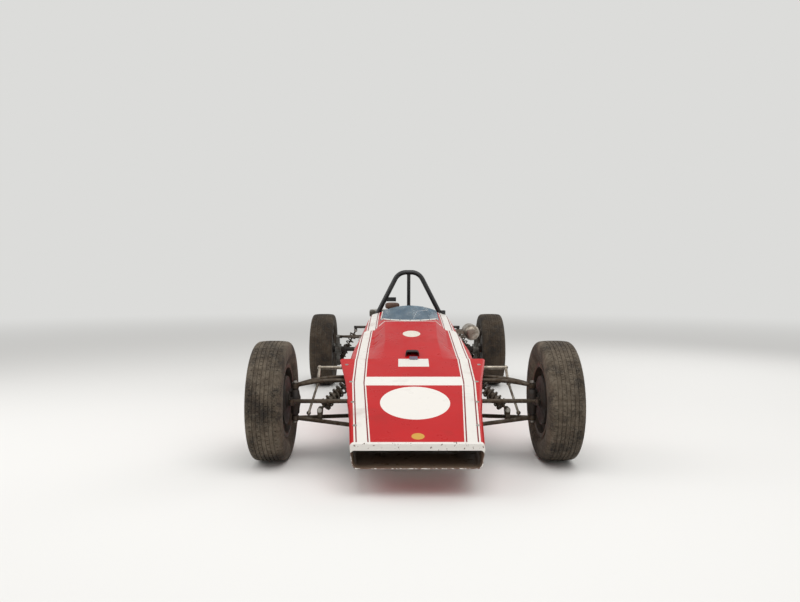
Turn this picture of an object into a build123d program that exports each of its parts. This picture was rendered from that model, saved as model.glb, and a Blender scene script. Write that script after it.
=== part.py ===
"""Open wheel racing car of the early 1970s, in millimetres.

The nose faces -Y, +X is the driver's left and +Z is up. The origin is on the ground, halfway along the car
and on its centreline. A distance called "behind the front axle" runs backwards along the car from that axle.
"""

from build123d import *
from collections import namedtuple
from math import cos, radians, sin
import os

os.makedirs("parts", exist_ok=True)

# Driving dimensions of the whole car
WHEELBASE = 2360.0
FRONT_AXLE_Y = -1190.0
FRONT_TRACK = 1372.0
REAR_TRACK = 1400.0
FRONT_TYRE_RADIUS = 290.0
REAR_TYRE_RADIUS = 297.0
FRONT_TYRE_WIDTH = 172.0
REAR_TYRE_WIDTH = 188.0
REAR_AXLE_Y = FRONT_AXLE_Y + WHEELBASE
NOSE_OVERHANG = 585.0
TAIL_OVERHANG = 605.0
NOSE_Y = FRONT_AXLE_Y - NOSE_OVERHANG
TAIL_Y = REAR_AXLE_Y + TAIL_OVERHANG
SEAM_Y = FRONT_AXLE_Y + 940.0
HOOP_Y = REAR_AXLE_Y - 885.0

# Clearances
SEAT_GAP = 0.3
RUNNING_GAP = 0.05

# Body shell
SHELL_WALL = 4.0
SHELL_FLOOR_Z = 116.0
NOSE_LIP_Z = 217.0
NOSE_LIP_HEIGHT = 26.0
NOSE_LIP_DEPTH = 45.0
WEDGE_SLOPE = 0.271
FLARE_END = 300.0
FLARE_LIP = 8.0
SEAM_GAP = 3.0
HOOP_BAY_GAP = 24.0

# Space frame
FRAME_TUBE = 12.5
CROSS_TUBE = 11.0
POST_TUBE = 10.0
BRACE_TUBE = 8.0
RAIL_BEND = 150.0
HOOP_TUBE = 16.5
HOOP_TOP_Z = 950.0
CLEVIS_PLATE = 4.0
EYE_RADIUS = 13.0
EYE_LENGTH = 46.0
BOLT_RADIUS = 6.0

# Front suspension and steering
KINGPIN_X = 580.0
KINGPIN_RADIUS = 14.0
PIN_RADIUS = 7.0
UPPER_BALL_Z = 361.0
LOWER_BALL_Z = 203.0
BALL_BOSS_RADIUS = 18.0
BALL_BOSS_HEIGHT = 22.0
ARM_RADIUS = 10.0
STUB_RADIUS = 14.0
STEER_ARM_LENGTH = 120.0
STEER_ARM_X = KINGPIN_X
RACK_Z = 306.0
RACK_RADIUS = 11.0
RACK_HOUSING_RADIUS = 19.0
RACK_HOUSING_HALF = 190.0
TRACK_ROD_RADIUS = 6.5
STEER_LOCK = radians(15.0)
COLUMN_RADIUS = 9.0
STEERING_WHEEL_RADIUS = 135.0
ROLL_BAR_RADIUS = 9.0
ROLL_BAR_Z = 418.0
SPRING_RADIUS = 26.0
SPRING_WIRE = 5.0
SPRING_SEAT = 42.0

# Wheels and brakes
RIM_FLANGE_RADIUS = 178.0
BEAD_RADIUS = 165.0
WELL_RADIUS = 149.0
RIM_HALF_WIDTH = 70.0
RIM_WALL = 4.0
DISC_RADIUS = 118.0
DISC_THICKNESS = 10.0
DISC_OFFSET = 62.0
HUB_RADIUS = 30.0
HUB_FLANGE_RADIUS = 62.0

# Power unit
ENGINE_FRONT_Y = HOOP_Y + 120.0
ENGINE_LENGTH = 480.0
CRANK_Z = 235.0
BLOCK_HALF_WIDTH = 108.0
SUMP_Z = 118.0
DECK_Z = 455.0
HEAD_TOP_Z = 548.0
GEARBOX_HALF_WIDTH = 92.0
EXHAUST_RADIUS = 24.0
EXHAUST_WALL = 1.5
TANK_RADIUS = 57.0


def wedge_z(y):
    """Height of the flat wedge of the nose above the ground, at a place along the car."""
    return NOSE_LIP_Z + WEDGE_SLOPE * (y - NOSE_Y)


def body_section(y, corners, radii):
    """One closed cross-section of the body across the car, from the corners of its left half."""
    outline = list(corners) + [(-x, z) for x, z in reversed(corners)]
    rounding = list(radii) + list(reversed(radii))
    with BuildSketch(Plane.XZ.offset(-y)) as section:
        with BuildLine():
            FilletPolyline(*outline, radius=rounding, close=True)
        make_face()
    return section.sketch


def tube(start, end, radius):
    """A straight round tube between two points."""
    run = Vector(*end) - Vector(*start)
    with BuildSketch(Plane(origin=start, z_dir=run)) as section:
        Circle(radius)
    return extrude(section.sketch, amount=run.length, mode=Mode.PRIVATE)


def arc_tube(start, middle, end, radius):
    """A round tube bent along an arc through three points."""
    with BuildLine() as path:
        ThreePointArc(start, middle, end)
    with BuildSketch(Plane(origin=path.line @ 0, z_dir=path.line % 0)) as section:
        Circle(radius)
    return sweep(section.sketch, path=path.line, mode=Mode.PRIVATE)


def bent_tube(points, bend, radius):
    """A round tube that runs through points with rounded bends."""
    with BuildLine() as path:
        FilletPolyline(*points, radius=bend)
    with BuildSketch(Plane(origin=path.line @ 0, z_dir=path.line % 0)) as section:
        Circle(radius)
    return sweep(section.sketch, path=path.line, mode=Mode.PRIVATE)


def disc_along(axis_plane, centre, radius, length):
    """A round bar of a given length whose middle is at a point of a plane."""
    with BuildSketch(axis_plane) as section:
        with Locations(centre):
            Circle(radius)
    return extrude(section.sketch, amount=length / 2, both=True, mode=Mode.PRIVATE)


def bored(piece_centre, plane, radius, length):
    """Cut a round bore through the open part, about a point of a plane."""
    add(disc_along(plane, piece_centre, radius, length), mode=Mode.SUBTRACT)


def link_plate(plane, first, first_radius, second, second_radius, thickness):
    """A flat plate whose outline wraps two circles, such as a bracket or a lever."""
    with BuildSketch(plane) as outline:
        with Locations(first):
            Circle(first_radius)
        with Locations(second):
            Circle(second_radius)
        make_hull()
    return extrude(outline.sketch, amount=thickness / 2, both=True, mode=Mode.PRIVATE)


def clevis(pivot, anchor, length=EYE_LENGTH, bolt=BOLT_RADIUS, reach=EYE_RADIUS):
    """Two plates and their bolt, which carry an eye at the pivot from a tube at the anchor."""
    x, y, z = pivot
    half = length / 2 + SEAT_GAP
    pieces = [disc_along(Plane.XZ.offset(-y), (x, z), bolt - SEAT_GAP, 2 * (half + CLEVIS_PLATE + 4))]
    for middle in (y - half - CLEVIS_PLATE / 2, y + half + CLEVIS_PLATE / 2):
        plane = Plane.XZ.offset(-middle)
        pieces.append(link_plate(plane, (x, z), reach, anchor, reach * 0.7, CLEVIS_PLATE))
    return pieces


# Cross-sections of the nose: distance behind the front axle, half-widths of its top and of its floor
NoseStation = namedtuple("NoseStation", "behind top floor")
NOSE_STATIONS = (
    NoseStation(-NOSE_OVERHANG, 275, 262),
    NoseStation(-280, 300, 282),
    NoseStation(-140, 320, 298),
    NoseStation(30, 343, 318),
    NoseStation(190, 372, 338),
    NoseStation(FLARE_END, 392, 350),
)

# Cross-sections of the body behind the flares: the half-width and height of each corner up the side
TubStation = namedtuple("TubStation", "y floor waist shoulder valley hump")
SCUTTLE_STATIONS = (
    TubStation(FRONT_AXLE_Y + FLARE_END, 340, (350, 350), (331, 446), (230, 451), (160, 457)),
    TubStation(FRONT_AXLE_Y + 600, 345, (360, 400), (332, 478), (215, 487), (150, 538)),
    TubStation(SEAM_Y - SEAM_GAP, 345, (352, 430), (288, 556), (225, 562), (160, 618)),
)
COCKPIT_STATIONS = (
    TubStation(SEAM_Y, 345, (352, 430), (288, 556), (225, 562), (160, 618)),
    TubStation(HOOP_Y - 175, 335, (342, 465), (272, 616), (234, 624), (200, 636)),
    TubStation(HOOP_Y - HOOP_BAY_GAP, 325, (328, 475), (262, 634), (232, 642), (196, 652)),
)
TUB_ROUNDING = (15.0, 50.0, 30.0, 0.0, 8.0)


def nose_section(station, inset, lip=0.0):
    """A section of the nose, drawn in by the wall on every side and by the lip at the top."""
    y = FRONT_AXLE_Y + station.behind
    corners = (
        (station.floor - inset, SHELL_FLOOR_Z + inset),
        (station.top - inset, wedge_z(y) - inset - lip),
    )
    return body_section(y, corners, (24.0 - inset, 18.0 - inset))


def tub_section(station, inset):
    """A section of the body behind the flares, drawn in by the wall on every side."""
    corners = [(station.floor - inset, SHELL_FLOOR_Z + inset)]
    corners.append((station.waist[0] - inset, station.waist[1]))
    corners.append((station.shoulder[0] - inset, station.shoulder[1] - inset))
    corners.append((station.valley[0] - inset / 2, station.valley[1] - inset))
    corners.append((station.hump[0] - inset / 2, station.hump[1] - inset))
    return body_section(station.y, corners, [max(r - inset, 0.0) for r in TUB_ROUNDING])


def between(front, rear, y):
    """The section of the body at a place between two stations."""
    share = (y - front.y) / (rear.y - front.y)
    blended = [y, front.floor + share * (rear.floor - front.floor)]
    for start, end in zip(front[2:], rear[2:]):
        blended.append(tuple(a + share * (b - a) for a, b in zip(start, end)))
    return TubStation(*blended)


# Nose cone with its intake, flares and scuttle
with BuildPart() as nose_cone:
    loft([nose_section(station, 0.0) for station in NOSE_STATIONS], ruled=True)
    loft([tub_section(station, 0.0) for station in SCUTTLE_STATIONS], ruled=True)
    # The intake narrows at the thick rolled lip of the mouth
    mouth = nose_section(NOSE_STATIONS[0], SHELL_WALL, NOSE_LIP_HEIGHT - SHELL_WALL)
    throat = nose_section(NOSE_STATIONS[0]._replace(behind=NOSE_LIP_DEPTH - NOSE_OVERHANG), SHELL_WALL)
    inside = [mouth, throat] + [nose_section(station, SHELL_WALL) for station in NOSE_STATIONS[1:]]
    loft(inside, ruled=True, mode=Mode.SUBTRACT)
    loft([tub_section(station, SHELL_WALL) for station in SCUTTLE_STATIONS], ruled=True, mode=Mode.SUBTRACT)
    # The sides are open behind the intake, where the suspension comes out under the flares
    window_front = FRONT_AXLE_Y - 155
    window_rear = FRONT_AXLE_Y + FLARE_END
    with BuildSketch(Plane.YZ):
        with BuildLine():
            Polyline(
                (window_front, SHELL_FLOOR_Z - 20),
                (window_front, wedge_z(window_front) - FLARE_LIP),
                (window_rear, wedge_z(window_rear) - FLARE_LIP),
                (window_rear, SHELL_FLOOR_Z - 20),
                close=True,
            )
        make_face()
    extrude(amount=500, both=True, mode=Mode.SUBTRACT)
    # The floor pan closes the scuttle from below
    with BuildSketch(Plane.XY.offset(SHELL_FLOOR_Z - 10)):
        with Locations((0, (window_rear + SEAM_Y) / 2)):
            Rectangle(2 * (SCUTTLE_STATIONS[0].floor - 20), SEAM_Y - window_rear + 60)
    extrude(amount=10 + 2 * SHELL_WALL, mode=Mode.SUBTRACT)
nose_cone.part.label = "nose_cone"
export_step(nose_cone.part, "parts/nose_cone.step")

# Cockpit surround, from the seam to the roll hoop, open above the driver
COCKPIT_FRONT_Y = SEAM_Y + 95.0
COCKPIT_REAR_Y = HOOP_Y - 34.0
COCKPIT_HALF_WIDTH = 186.0
with BuildPart() as cockpit_surround:
    loft([tub_section(s, 0.0) for s in COCKPIT_STATIONS], ruled=True)
    loft([tub_section(s, SHELL_WALL) for s in COCKPIT_STATIONS], ruled=True, mode=Mode.SUBTRACT)
    with BuildSketch(Plane.XY.offset(SHELL_FLOOR_Z - 10)):
        with Locations((0, (SEAM_Y + HOOP_Y) / 2)):
            Rectangle(2 * (COCKPIT_STATIONS[-1].floor - 20), HOOP_Y - SEAM_Y + 60)
    extrude(amount=10 + 2 * SHELL_WALL, mode=Mode.SUBTRACT)
    with BuildSketch(Plane.XY.offset(500)):
        with Locations((0, (COCKPIT_FRONT_Y + COCKPIT_REAR_Y) / 2)):
            RectangleRounded(2 * COCKPIT_HALF_WIDTH, COCKPIT_REAR_Y - COCKPIT_FRONT_Y, 90)
    extrude(amount=300, mode=Mode.SUBTRACT)
cockpit_surround.part.label = "cockpit_surround"
export_step(cockpit_surround.part, "parts/cockpit_surround.step")

# Windscreen: a curved acrylic sheet that stands on the cowl
SCREEN_THICKNESS = 3.0
ScreenEdge = namedtuple("ScreenEdge", "z half_width front rear")
SCREEN_EDGES = (
    ScreenEdge(585, 197, SEAM_Y - 24, SEAM_Y + 130),
    ScreenEdge(713, 172, SEAM_Y + 128, SEAM_Y + 170),
)
SCREEN_TOP = ((-176, 677), (0, 713), (176, 677))
SCREEN_CORNER = 24.0


def screen_section(edge, inset):
    """The curved front and straight back of the space behind the windscreen, at one height."""
    half = edge.half_width - inset
    with BuildSketch(Plane.XY.offset(edge.z)) as section:
        with BuildLine():
            ThreePointArc((-half, edge.rear), (0, edge.front + inset), (half, edge.rear))
            Line((half, edge.rear), (-half, edge.rear))
        make_face()
    return section.sketch


with BuildPart() as windscreen:
    loft([screen_section(edge, 0.0) for edge in SCREEN_EDGES], ruled=True)
    loft([screen_section(edge, SCREEN_THICKNESS) for edge in SCREEN_EDGES], ruled=True, mode=Mode.SUBTRACT)
    cowl_stations = SCUTTLE_STATIONS[:-1] + COCKPIT_STATIONS
    loft([tub_section(s, -SEAT_GAP) for s in cowl_stations], ruled=True, mode=Mode.SUBTRACT)
    # Seen from the front, its top is an arch with round corners
    with BuildSketch(Plane.XZ) as screen_front:
        with BuildLine():
            ThreePointArc(*SCREEN_TOP)
            Polyline(SCREEN_TOP[-1], (215, 540), (-215, 540), SCREEN_TOP[0])
        make_face()
        fillet(screen_front.vertices().group_by(Axis.Z)[-1], radius=SCREEN_CORNER)
    extrude(amount=500, both=True, mode=Mode.INTERSECT)
windscreen.part.label = "windscreen"
export_step(windscreen.part, "parts/windscreen.step")

# Space frame: each station's place along the car and the two corners of its left half
FrameStation = namedtuple("FrameStation", "y low_x low_z high_x high_z")
FRONT_BULKHEAD = FrameStation(FRONT_AXLE_Y - 60, 225, 152, 225, 322)
PEDAL_BULKHEAD = FrameStation(FRONT_AXLE_Y + 260, 245, 152, 250, 390)
DASH_BULKHEAD = FrameStation(SEAM_Y + 40, 312, 152, 285, 508)
HOOP_BULKHEAD = FrameStation(HOOP_Y, 300, 152, 285, 500)
REAR_BULKHEAD = FrameStation(REAR_AXLE_Y + 78, 170, 152, 190, 478)
FRAME_STATIONS = (FRONT_BULKHEAD, PEDAL_BULKHEAD, DASH_BULKHEAD, HOOP_BULKHEAD, REAR_BULKHEAD)
DAMPER_BEAM_HALF = 452.0
DASH_HOOP_X = 165.0
DASH_HOOP_Z = 578.0


def low(station, side):
    """The lower corner of a frame station on one side."""
    return (side * station.low_x, station.y, station.low_z)


def high(station, side):
    """The upper corner of a frame station on one side."""
    return (side * station.high_x, station.y, station.high_z)


def rail_at(front, rear, y, upper):
    """Where a frame rail on the left side crosses a place along the car, as (x, z)."""
    share = (y - front.y) / (rear.y - front.y)
    start, end = (high(front, 1), high(rear, 1)) if upper else (low(front, 1), low(rear, 1))
    return (start[0] + share * (end[0] - start[0]), start[2] + share * (end[2] - start[2]))


# Pivots of the suspension on the left side
UPPER_PIVOTS = [
    (rail_at(FRONT_BULKHEAD, PEDAL_BULKHEAD, y, True)[0] + 34, y, z)
    for y, z in ((FRONT_AXLE_Y + 110, 362), (FRONT_AXLE_Y + 222, 366))
]
LOWER_PIVOTS = [
    (rail_at(FRONT_BULKHEAD, PEDAL_BULKHEAD, y, False)[0] + 34, y, 168)
    for y in (FRONT_AXLE_Y - 30, FRONT_AXLE_Y + 230)
]
FRONT_DAMPER_TOP = (292.0, FRONT_AXLE_Y + 166, 388.0)
FRONT_DAMPER_FOOT = (462.0, FRONT_AXLE_Y + 28, 238.0)
HUB_INNER = DISC_OFFSET + DISC_THICKNESS / 2 + 8
UPRIGHT_X = REAR_TRACK / 2 - HUB_INNER - 45
UPRIGHT_HALF = 24.0
UPRIGHT_TOP = (UPRIGHT_X, REAR_AXLE_Y - 30, 404.0)
UPRIGHT_FOOT = (UPRIGHT_X, REAR_AXLE_Y + 10, 178.0)
REAR_DAMPER_TOP = (438.0, REAR_BULKHEAD.y, 448.0)
REAR_DAMPER_FOOT = (UPRIGHT_X, REAR_BULKHEAD.y, UPRIGHT_FOOT[2])
REAR_LOWER_PIVOT = (208.0, REAR_BULKHEAD.y - 30, 178.0)
REAR_UPPER_PIVOT = (228.0, REAR_AXLE_Y, 412.0)
ROD_EYE_HALF = 10.0
ROD_INSET = 24.0
ROD_PIVOT_Y = HOOP_Y + 90.0
ROD_PIVOTS = ((ROD_PIVOT_Y, 462.0, True), (ROD_PIVOT_Y, 190.0, False))
RACK_Y = FRONT_AXLE_Y - STEER_ARM_LENGTH + STEER_ARM_LENGTH * (1 - cos(STEER_LOCK)) / 2
ROLL_BAR_Y = FRONT_AXLE_Y + 235.0
ROLL_BAR_MOUNT_X = 200.0
RACK_MOUNT_X = 150.0
FRONT_DAMPER_EYE = 36.0
REAR_DAMPER_EYE = 24.0

# Place of the radiator, which leans back in the nose
RADIATOR_LEAN = 32.0
RADIATOR_WIDTH = 400.0
RADIATOR_DEPTH = 38.0
RADIATOR_MARGIN = 6.0
RADIATOR_PAD_X = 150.0
RADIATOR_STAY_Z = 240.0
NOSE_SEAT_X = 150.0
SKIN_TAB_YS = (SEAM_Y + 60, SEAM_Y + 320)
SKIN_TAB_GAP = 0.5
STAY_Y = HOOP_Y + 74.0
FIREWALL_Y = HOOP_Y + FRAME_TUBE + HOOP_TUBE
# The engine bay's frame is bolted to the cockpit's behind the firewall
BAY_JOINT_Y = HOOP_Y + 50.0
BAY_JOINT_GAP = 0.4
lean_cos = cos(radians(RADIATOR_LEAN))
lean_sin = sin(radians(RADIATOR_LEAN))
RADIATOR_FOOT = (0, NOSE_Y + 215, SHELL_FLOOR_Z + SHELL_WALL + RADIATOR_MARGIN + RADIATOR_DEPTH * lean_sin)
radiator_room = wedge_z(RADIATOR_FOOT[1]) - SHELL_WALL - RADIATOR_MARGIN - RADIATOR_FOOT[2]
RADIATOR_HEIGHT = radiator_room / (lean_cos - WEDGE_SLOPE * lean_sin)
radiator_plane = Plane(
    origin=RADIATOR_FOOT,
    x_dir=(1, 0, 0),
    z_dir=(0, -lean_cos, lean_sin),
)

rails = []
crossings = []
braces = []
brackets = []
for side in (-1, 1):
    for corner in (low, high):
        rails.append(bent_tube([corner(station, side) for station in FRAME_STATIONS], RAIL_BEND, FRAME_TUBE))
    for station in FRAME_STATIONS:
        crossings.append(tube(low(station, side), high(station, side), POST_TUBE))
    for front, rear in zip(FRAME_STATIONS[:-1], FRAME_STATIONS[1:-1]):
        braces.append(tube(low(front, side), high(rear, side), BRACE_TUBE))
for station in FRAME_STATIONS:
    crossings.append(tube(low(station, -1), low(station, 1), CROSS_TUBE))
for station in (FRONT_BULKHEAD, PEDAL_BULKHEAD, HOOP_BULKHEAD):
    crossings.append(tube(high(station, -1), high(station, 1), CROSS_TUBE))
bay_y = (HOOP_BULKHEAD.y + REAR_BULKHEAD.y) / 2
bay_x, bay_z = rail_at(HOOP_BULKHEAD, REAR_BULKHEAD, bay_y, True)
for side in (-1, 1):
    for station in (HOOP_BULKHEAD, REAR_BULKHEAD):
        braces.append(tube(low(station, side), (side * bay_x, bay_y, bay_z), BRACE_TUBE))
# The beam across the tail carries the rear dampers
beam_ends = [(side * DAMPER_BEAM_HALF, REAR_BULKHEAD.y, REAR_BULKHEAD.high_z) for side in (-1, 1)]
crossings.append(tube(*beam_ends, CROSS_TUBE))
# The dash hoop rises from the rails under the scuttle
dash_points = [high(DASH_BULKHEAD, 1), (DASH_HOOP_X, DASH_BULKHEAD.y, DASH_HOOP_Z)]
dash_points += [(-x, y, z) for x, y, z in reversed(dash_points)]
crossings.append(bent_tube(dash_points, 40, CROSS_TUBE))
# The stay of the roll hoop stands on a cross tube ahead of the engine
stay_x, stay_z = rail_at(HOOP_BULKHEAD, REAR_BULKHEAD, STAY_Y, True)
crossings.append(tube((-stay_x, STAY_Y, stay_z), (stay_x, STAY_Y, stay_z), CROSS_TUBE))
# Seats of the radiator, the nose, the cockpit surround and the firewall
wedge_normal = Vector(0, -WEDGE_SLOPE, 1).normalized()
for side in (-1, 1):
    for root_z, share in ((FRONT_BULKHEAD.low_z, 0.3), (RADIATOR_STAY_Z, 0.85)):
        up = RADIATOR_HEIGHT * share
        pad = radiator_plane.from_local_coords((side * RADIATOR_PAD_X, up, -RADIATOR_DEPTH - SEAT_GAP))
        stem = pad - radiator_plane.z_dir * 6
        brackets.append(tube(pad, stem, 15))
        braces.append(tube((side * FRONT_BULKHEAD.low_x, FRONT_BULKHEAD.y, root_z), stem, BRACE_TUBE))
    nose_seat = Vector(side * NOSE_SEAT_X, FRONT_BULKHEAD.y, FRONT_BULKHEAD.high_z)
    nose_reach = (wedge_z(nose_seat.Y) - SHELL_WALL - nose_seat.Z) * wedge_normal.Z - SEAT_GAP
    brackets.append(tube(nose_seat, nose_seat + wedge_normal * nose_reach, 9))
    for y in SKIN_TAB_YS:
        skin = between(COCKPIT_STATIONS[0], COCKPIT_STATIONS[1], y)
        rail_x, rail_z = rail_at(DASH_BULKHEAD, HOOP_BULKHEAD, y, True)
        slope = Vector(skin.waist[0] - skin.shoulder[0], 0, skin.shoulder[1] - SHELL_WALL - skin.waist[1])
        outward = Vector(side * slope.Z, 0, slope.X).normalized()
        to_skin = Vector(side * (skin.waist[0] - SHELL_WALL - rail_x), 0, skin.waist[1] - rail_z)
        start = Vector(side * rail_x, y, rail_z)
        brackets.append(tube(start, start + outward * (to_skin.dot(outward) - SKIN_TAB_GAP), 6))
    for z in (HOOP_BULKHEAD.low_z, HOOP_BULKHEAD.high_z):
        brackets.append(tube((side * 120, HOOP_Y, z), (side * 120, FIREWALL_Y - SEAT_GAP, z), 8))
# Brackets of the suspension
for side in (-1, 1):
    for front, rear, upper, pivots, length in (
        (FRONT_BULKHEAD, PEDAL_BULKHEAD, True, UPPER_PIVOTS, EYE_LENGTH),
        (FRONT_BULKHEAD, PEDAL_BULKHEAD, False, LOWER_PIVOTS, EYE_LENGTH),
        (FRONT_BULKHEAD, PEDAL_BULKHEAD, True, [FRONT_DAMPER_TOP], FRONT_DAMPER_EYE),
        (HOOP_BULKHEAD, REAR_BULKHEAD, True, [REAR_UPPER_PIVOT], EYE_LENGTH),
        (HOOP_BULKHEAD, REAR_BULKHEAD, False, [REAR_LOWER_PIVOT], EYE_LENGTH),
    ):
        for x, y, z in pivots:
            rail_x, rail_z = rail_at(front, rear, y, upper)
            brackets += clevis((side * x, y, z), (side * rail_x, rail_z), length)
    for y, z, upper in ROD_PIVOTS:
        rail_x, rail_z = rail_at(HOOP_BULKHEAD, REAR_BULKHEAD, y, upper)
        brackets.append(tube((side * rail_x, y, z), (side * (rail_x + 52), y, z), BOLT_RADIUS - SEAT_GAP))
        brackets.append(link_plate(Plane.YZ.offset(side * (rail_x + 13)), (y, z), 13, (y, rail_z), 11, 8))
        brackets.append(link_plate(Plane.YZ.offset(side * (rail_x + 5)), (y, z), 11, (y, rail_z), 11, 14))
    x, y, z = REAR_DAMPER_TOP
    brackets += clevis((side * x, y, z), (side * x, REAR_BULKHEAD.high_z), REAR_DAMPER_EYE)
    # A spacer through the beam is welded to both plates
    spacer_ends = [(side * x, y + reach, REAR_BULKHEAD.high_z) for reach in (-17, 17)]
    brackets.append(tube(*spacer_ends, 7))
with BuildPart() as welded_frame:
    for group in (rails, crossings, braces, brackets):
        add(group)
    # Split clamps of the anti-roll bar and the steering rack
    for x, clamp, bulkhead, radius in (
        (ROLL_BAR_MOUNT_X, (ROLL_BAR_Y, ROLL_BAR_Z), PEDAL_BULKHEAD, ROLL_BAR_RADIUS),
        (RACK_MOUNT_X, (RACK_Y, RACK_Z), FRONT_BULKHEAD, RACK_HOUSING_RADIUS),
    ):
        anchor = (bulkhead.y, bulkhead.high_z)
        for side in (-1, 1):
            plane = Plane.YZ.offset(side * x)
            add(link_plate(plane, clamp, radius + 5, anchor, FRAME_TUBE - 3, 16))
            add(disc_along(plane, clamp, radius + SEAT_GAP, 18), mode=Mode.SUBTRACT)
with BuildPart() as chassis_frame:
    add(welded_frame.part)
    split(bisect_by=Plane.XZ.offset(-BAY_JOINT_Y), keep=Keep.TOP)
chassis_frame.part.label = "chassis_frame"
export_step(chassis_frame.part, "parts/chassis_frame.step")
with BuildPart() as engine_bay_frame:
    add(welded_frame.part)
    split(bisect_by=Plane.XZ.offset(-BAY_JOINT_Y - BAY_JOINT_GAP), keep=Keep.BOTTOM)
engine_bay_frame.part.label = "engine_bay_frame"
export_step(engine_bay_frame.part, "parts/engine_bay_frame.step")

# Roll hoop behind the driver, with its single rear stay
STAY_BOSS_RADIUS = 14.0
HOOP_SHOULDER_X = 222.0
HOOP_SHOULDER_Z = 640.0
HOOP_BEND = 88.0
HOOP_FOOT_X = HOOP_BULKHEAD.high_x
HOOP_CROWN_Z = HOOP_TOP_Z - HOOP_TUBE
STAY_TUBE = 12.5
HOOP_CROWN_X = 72.0
hoop_points = [
    (HOOP_FOOT_X, HOOP_Y, HOOP_BULKHEAD.high_z + FRAME_TUBE + 14),
    (HOOP_SHOULDER_X, HOOP_Y, HOOP_SHOULDER_Z),
    (HOOP_CROWN_X, HOOP_Y, HOOP_CROWN_Z),
]
hoop_points += [(-x, y, z) for x, y, z in reversed(hoop_points)]
STAY_FOOT = (0.0, STAY_Y, stay_z + CROSS_TUBE + SEAT_GAP + STAY_BOSS_RADIUS)
with BuildPart() as roll_hoop:
    add(bent_tube(hoop_points, (60, HOOP_BEND, HOOP_BEND, 60), HOOP_TUBE))
    add(tube((0, HOOP_Y, HOOP_CROWN_Z), STAY_FOOT, STAY_TUBE))
    add(disc_along(Plane.YZ, STAY_FOOT[1:], STAY_BOSS_RADIUS, 34))
    for side in (-1, 1):
        foot = Plane.XY.offset(HOOP_BULKHEAD.high_z + FRAME_TUBE + 2 * SEAT_GAP)
        with BuildSketch(foot):
            with Locations((side * HOOP_FOOT_X, HOOP_Y)):
                Rectangle(64, 44)
        extrude(amount=5)
        socket_ends = [(side * HOOP_FOOT_X, HOOP_Y, foot.origin.Z + up) for up in (2, 20)]
        add(tube(*socket_ends, HOOP_TUBE))
roll_hoop.part.label = "roll_hoop"
export_step(roll_hoop.part, "parts/roll_hoop.step")

# Floor pan under the frame, from the front bulkhead to the roll hoop
FLOOR_THICKNESS = 3.0
FLOOR_TOP_Z = FRONT_BULKHEAD.low_z - FRAME_TUBE - SEAT_GAP
with BuildPart() as floor_pan:
    with BuildSketch(Plane.XY.offset(FLOOR_TOP_Z)):
        with BuildLine():
            edge = [(s.low_x + FRAME_TUBE, s.y) for s in FRAME_STATIONS[:-1]]
            edge[-1] = (edge[-1][0], HOOP_Y + FRAME_TUBE)
            Polyline(*edge, *[(-x, y) for x, y in reversed(edge)], close=True)
        make_face()
    extrude(amount=-FLOOR_THICKNESS)
floor_pan.part.label = "floor_pan"
export_step(floor_pan.part, "parts/floor_pan.step")

# Firewall between the cockpit and the engine
with BuildPart() as firewall:
    with BuildSketch(Plane.XZ.offset(-FIREWALL_Y)):
        with BuildLine():
            low_x, low_z = rail_at(HOOP_BULKHEAD, REAR_BULKHEAD, FIREWALL_Y, False)
            high_x, high_z = rail_at(HOOP_BULKHEAD, REAR_BULKHEAD, FIREWALL_Y, True)
            side_edge = [(low_x - FRAME_TUBE - 6, FLOOR_TOP_Z), (high_x - FRAME_TUBE - 6, high_z), (190, 545)]
            Polyline(*side_edge, *[(-x, z) for x, z in reversed(side_edge)], close=True)
        make_face()
    extrude(amount=-3)
firewall.part.label = "firewall"
export_step(firewall.part, "parts/firewall.step")

# Seat: a bent shell with side wings and a rounded top
SEAT_HALF_WIDTH = 165.0
SEAT_SHELL = 5.0
SEAT_TOP_Z = 690.0
SEAT_FOOT_X = 120.0
SEAT_LINE = [(SEAM_Y + 110, 205), (HOOP_Y - 200, 168), (HOOP_Y - 62, SEAT_TOP_Z)]
with BuildPart() as seat_shell:
    with BuildSketch(Plane.YZ):
        with BuildLine() as seat_line:
            FilletPolyline(*SEAT_LINE, radius=70)
        trace(line_width=SEAT_SHELL)
    extrude(amount=SEAT_HALF_WIDTH, both=True)
    for side in (-1, 1):
        with BuildSketch(Plane.YZ.offset(side * (SEAT_HALF_WIDTH - SEAT_SHELL / 2))):
            with BuildLine():
                Polyline(
                    SEAT_LINE[0],
                    SEAT_LINE[1],
                    (HOOP_Y - 92, 620),
                    (HOOP_Y - 145, 560),
                    (HOOP_Y - 260, 300),
                    (SEAM_Y + 110, 290),
                    close=True,
                )
            make_face()
        extrude(amount=SEAT_SHELL / 2, both=True)
    # The back narrows to a rounded head
    with BuildSketch(Plane.XZ.offset(-HOOP_Y)):
        Rectangle(900, 500, align=(Align.CENTER, Align.MIN))
        with BuildLine():
            FilletPolyline(
                (-400, -1),
                (400, -1),
                (400, 540),
                (SEAT_HALF_WIDTH + 1, 540),
                (125, SEAT_TOP_Z + 2),
                (-125, SEAT_TOP_Z + 2),
                (-SEAT_HALF_WIDTH - 1, 540),
                (-400, 540),
                radius=(1, 1, 1, 60, 60, 1, 1, 1),
                close=True,
            )
        make_face()
    extrude(amount=700, mode=Mode.INTERSECT)
    # Four feet hold the seat above the floor
    for x in (-SEAT_FOOT_X, SEAT_FOOT_X):
        for y, z in ((SEAM_Y + 150, 194), (SEAM_Y + 270, 176)):
            add(link_plate(Plane.YZ.offset(x), (y, z), 10, (y, FLOOR_TOP_Z + SEAT_GAP + 14), 14, 5))
seat_shell.part.label = "seat_shell"
export_step(seat_shell.part, "parts/seat_shell.step")

# Dash panel with its instruments
DASH_Y = DASH_BULKHEAD.y + CROSS_TUBE + SEAT_GAP
DASH_THICKNESS = 3.0
DASH_OUTLINE = ((-215, 480), (-188, 560), (-150, 592), (150, 592), (188, 560), (215, 480))
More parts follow.
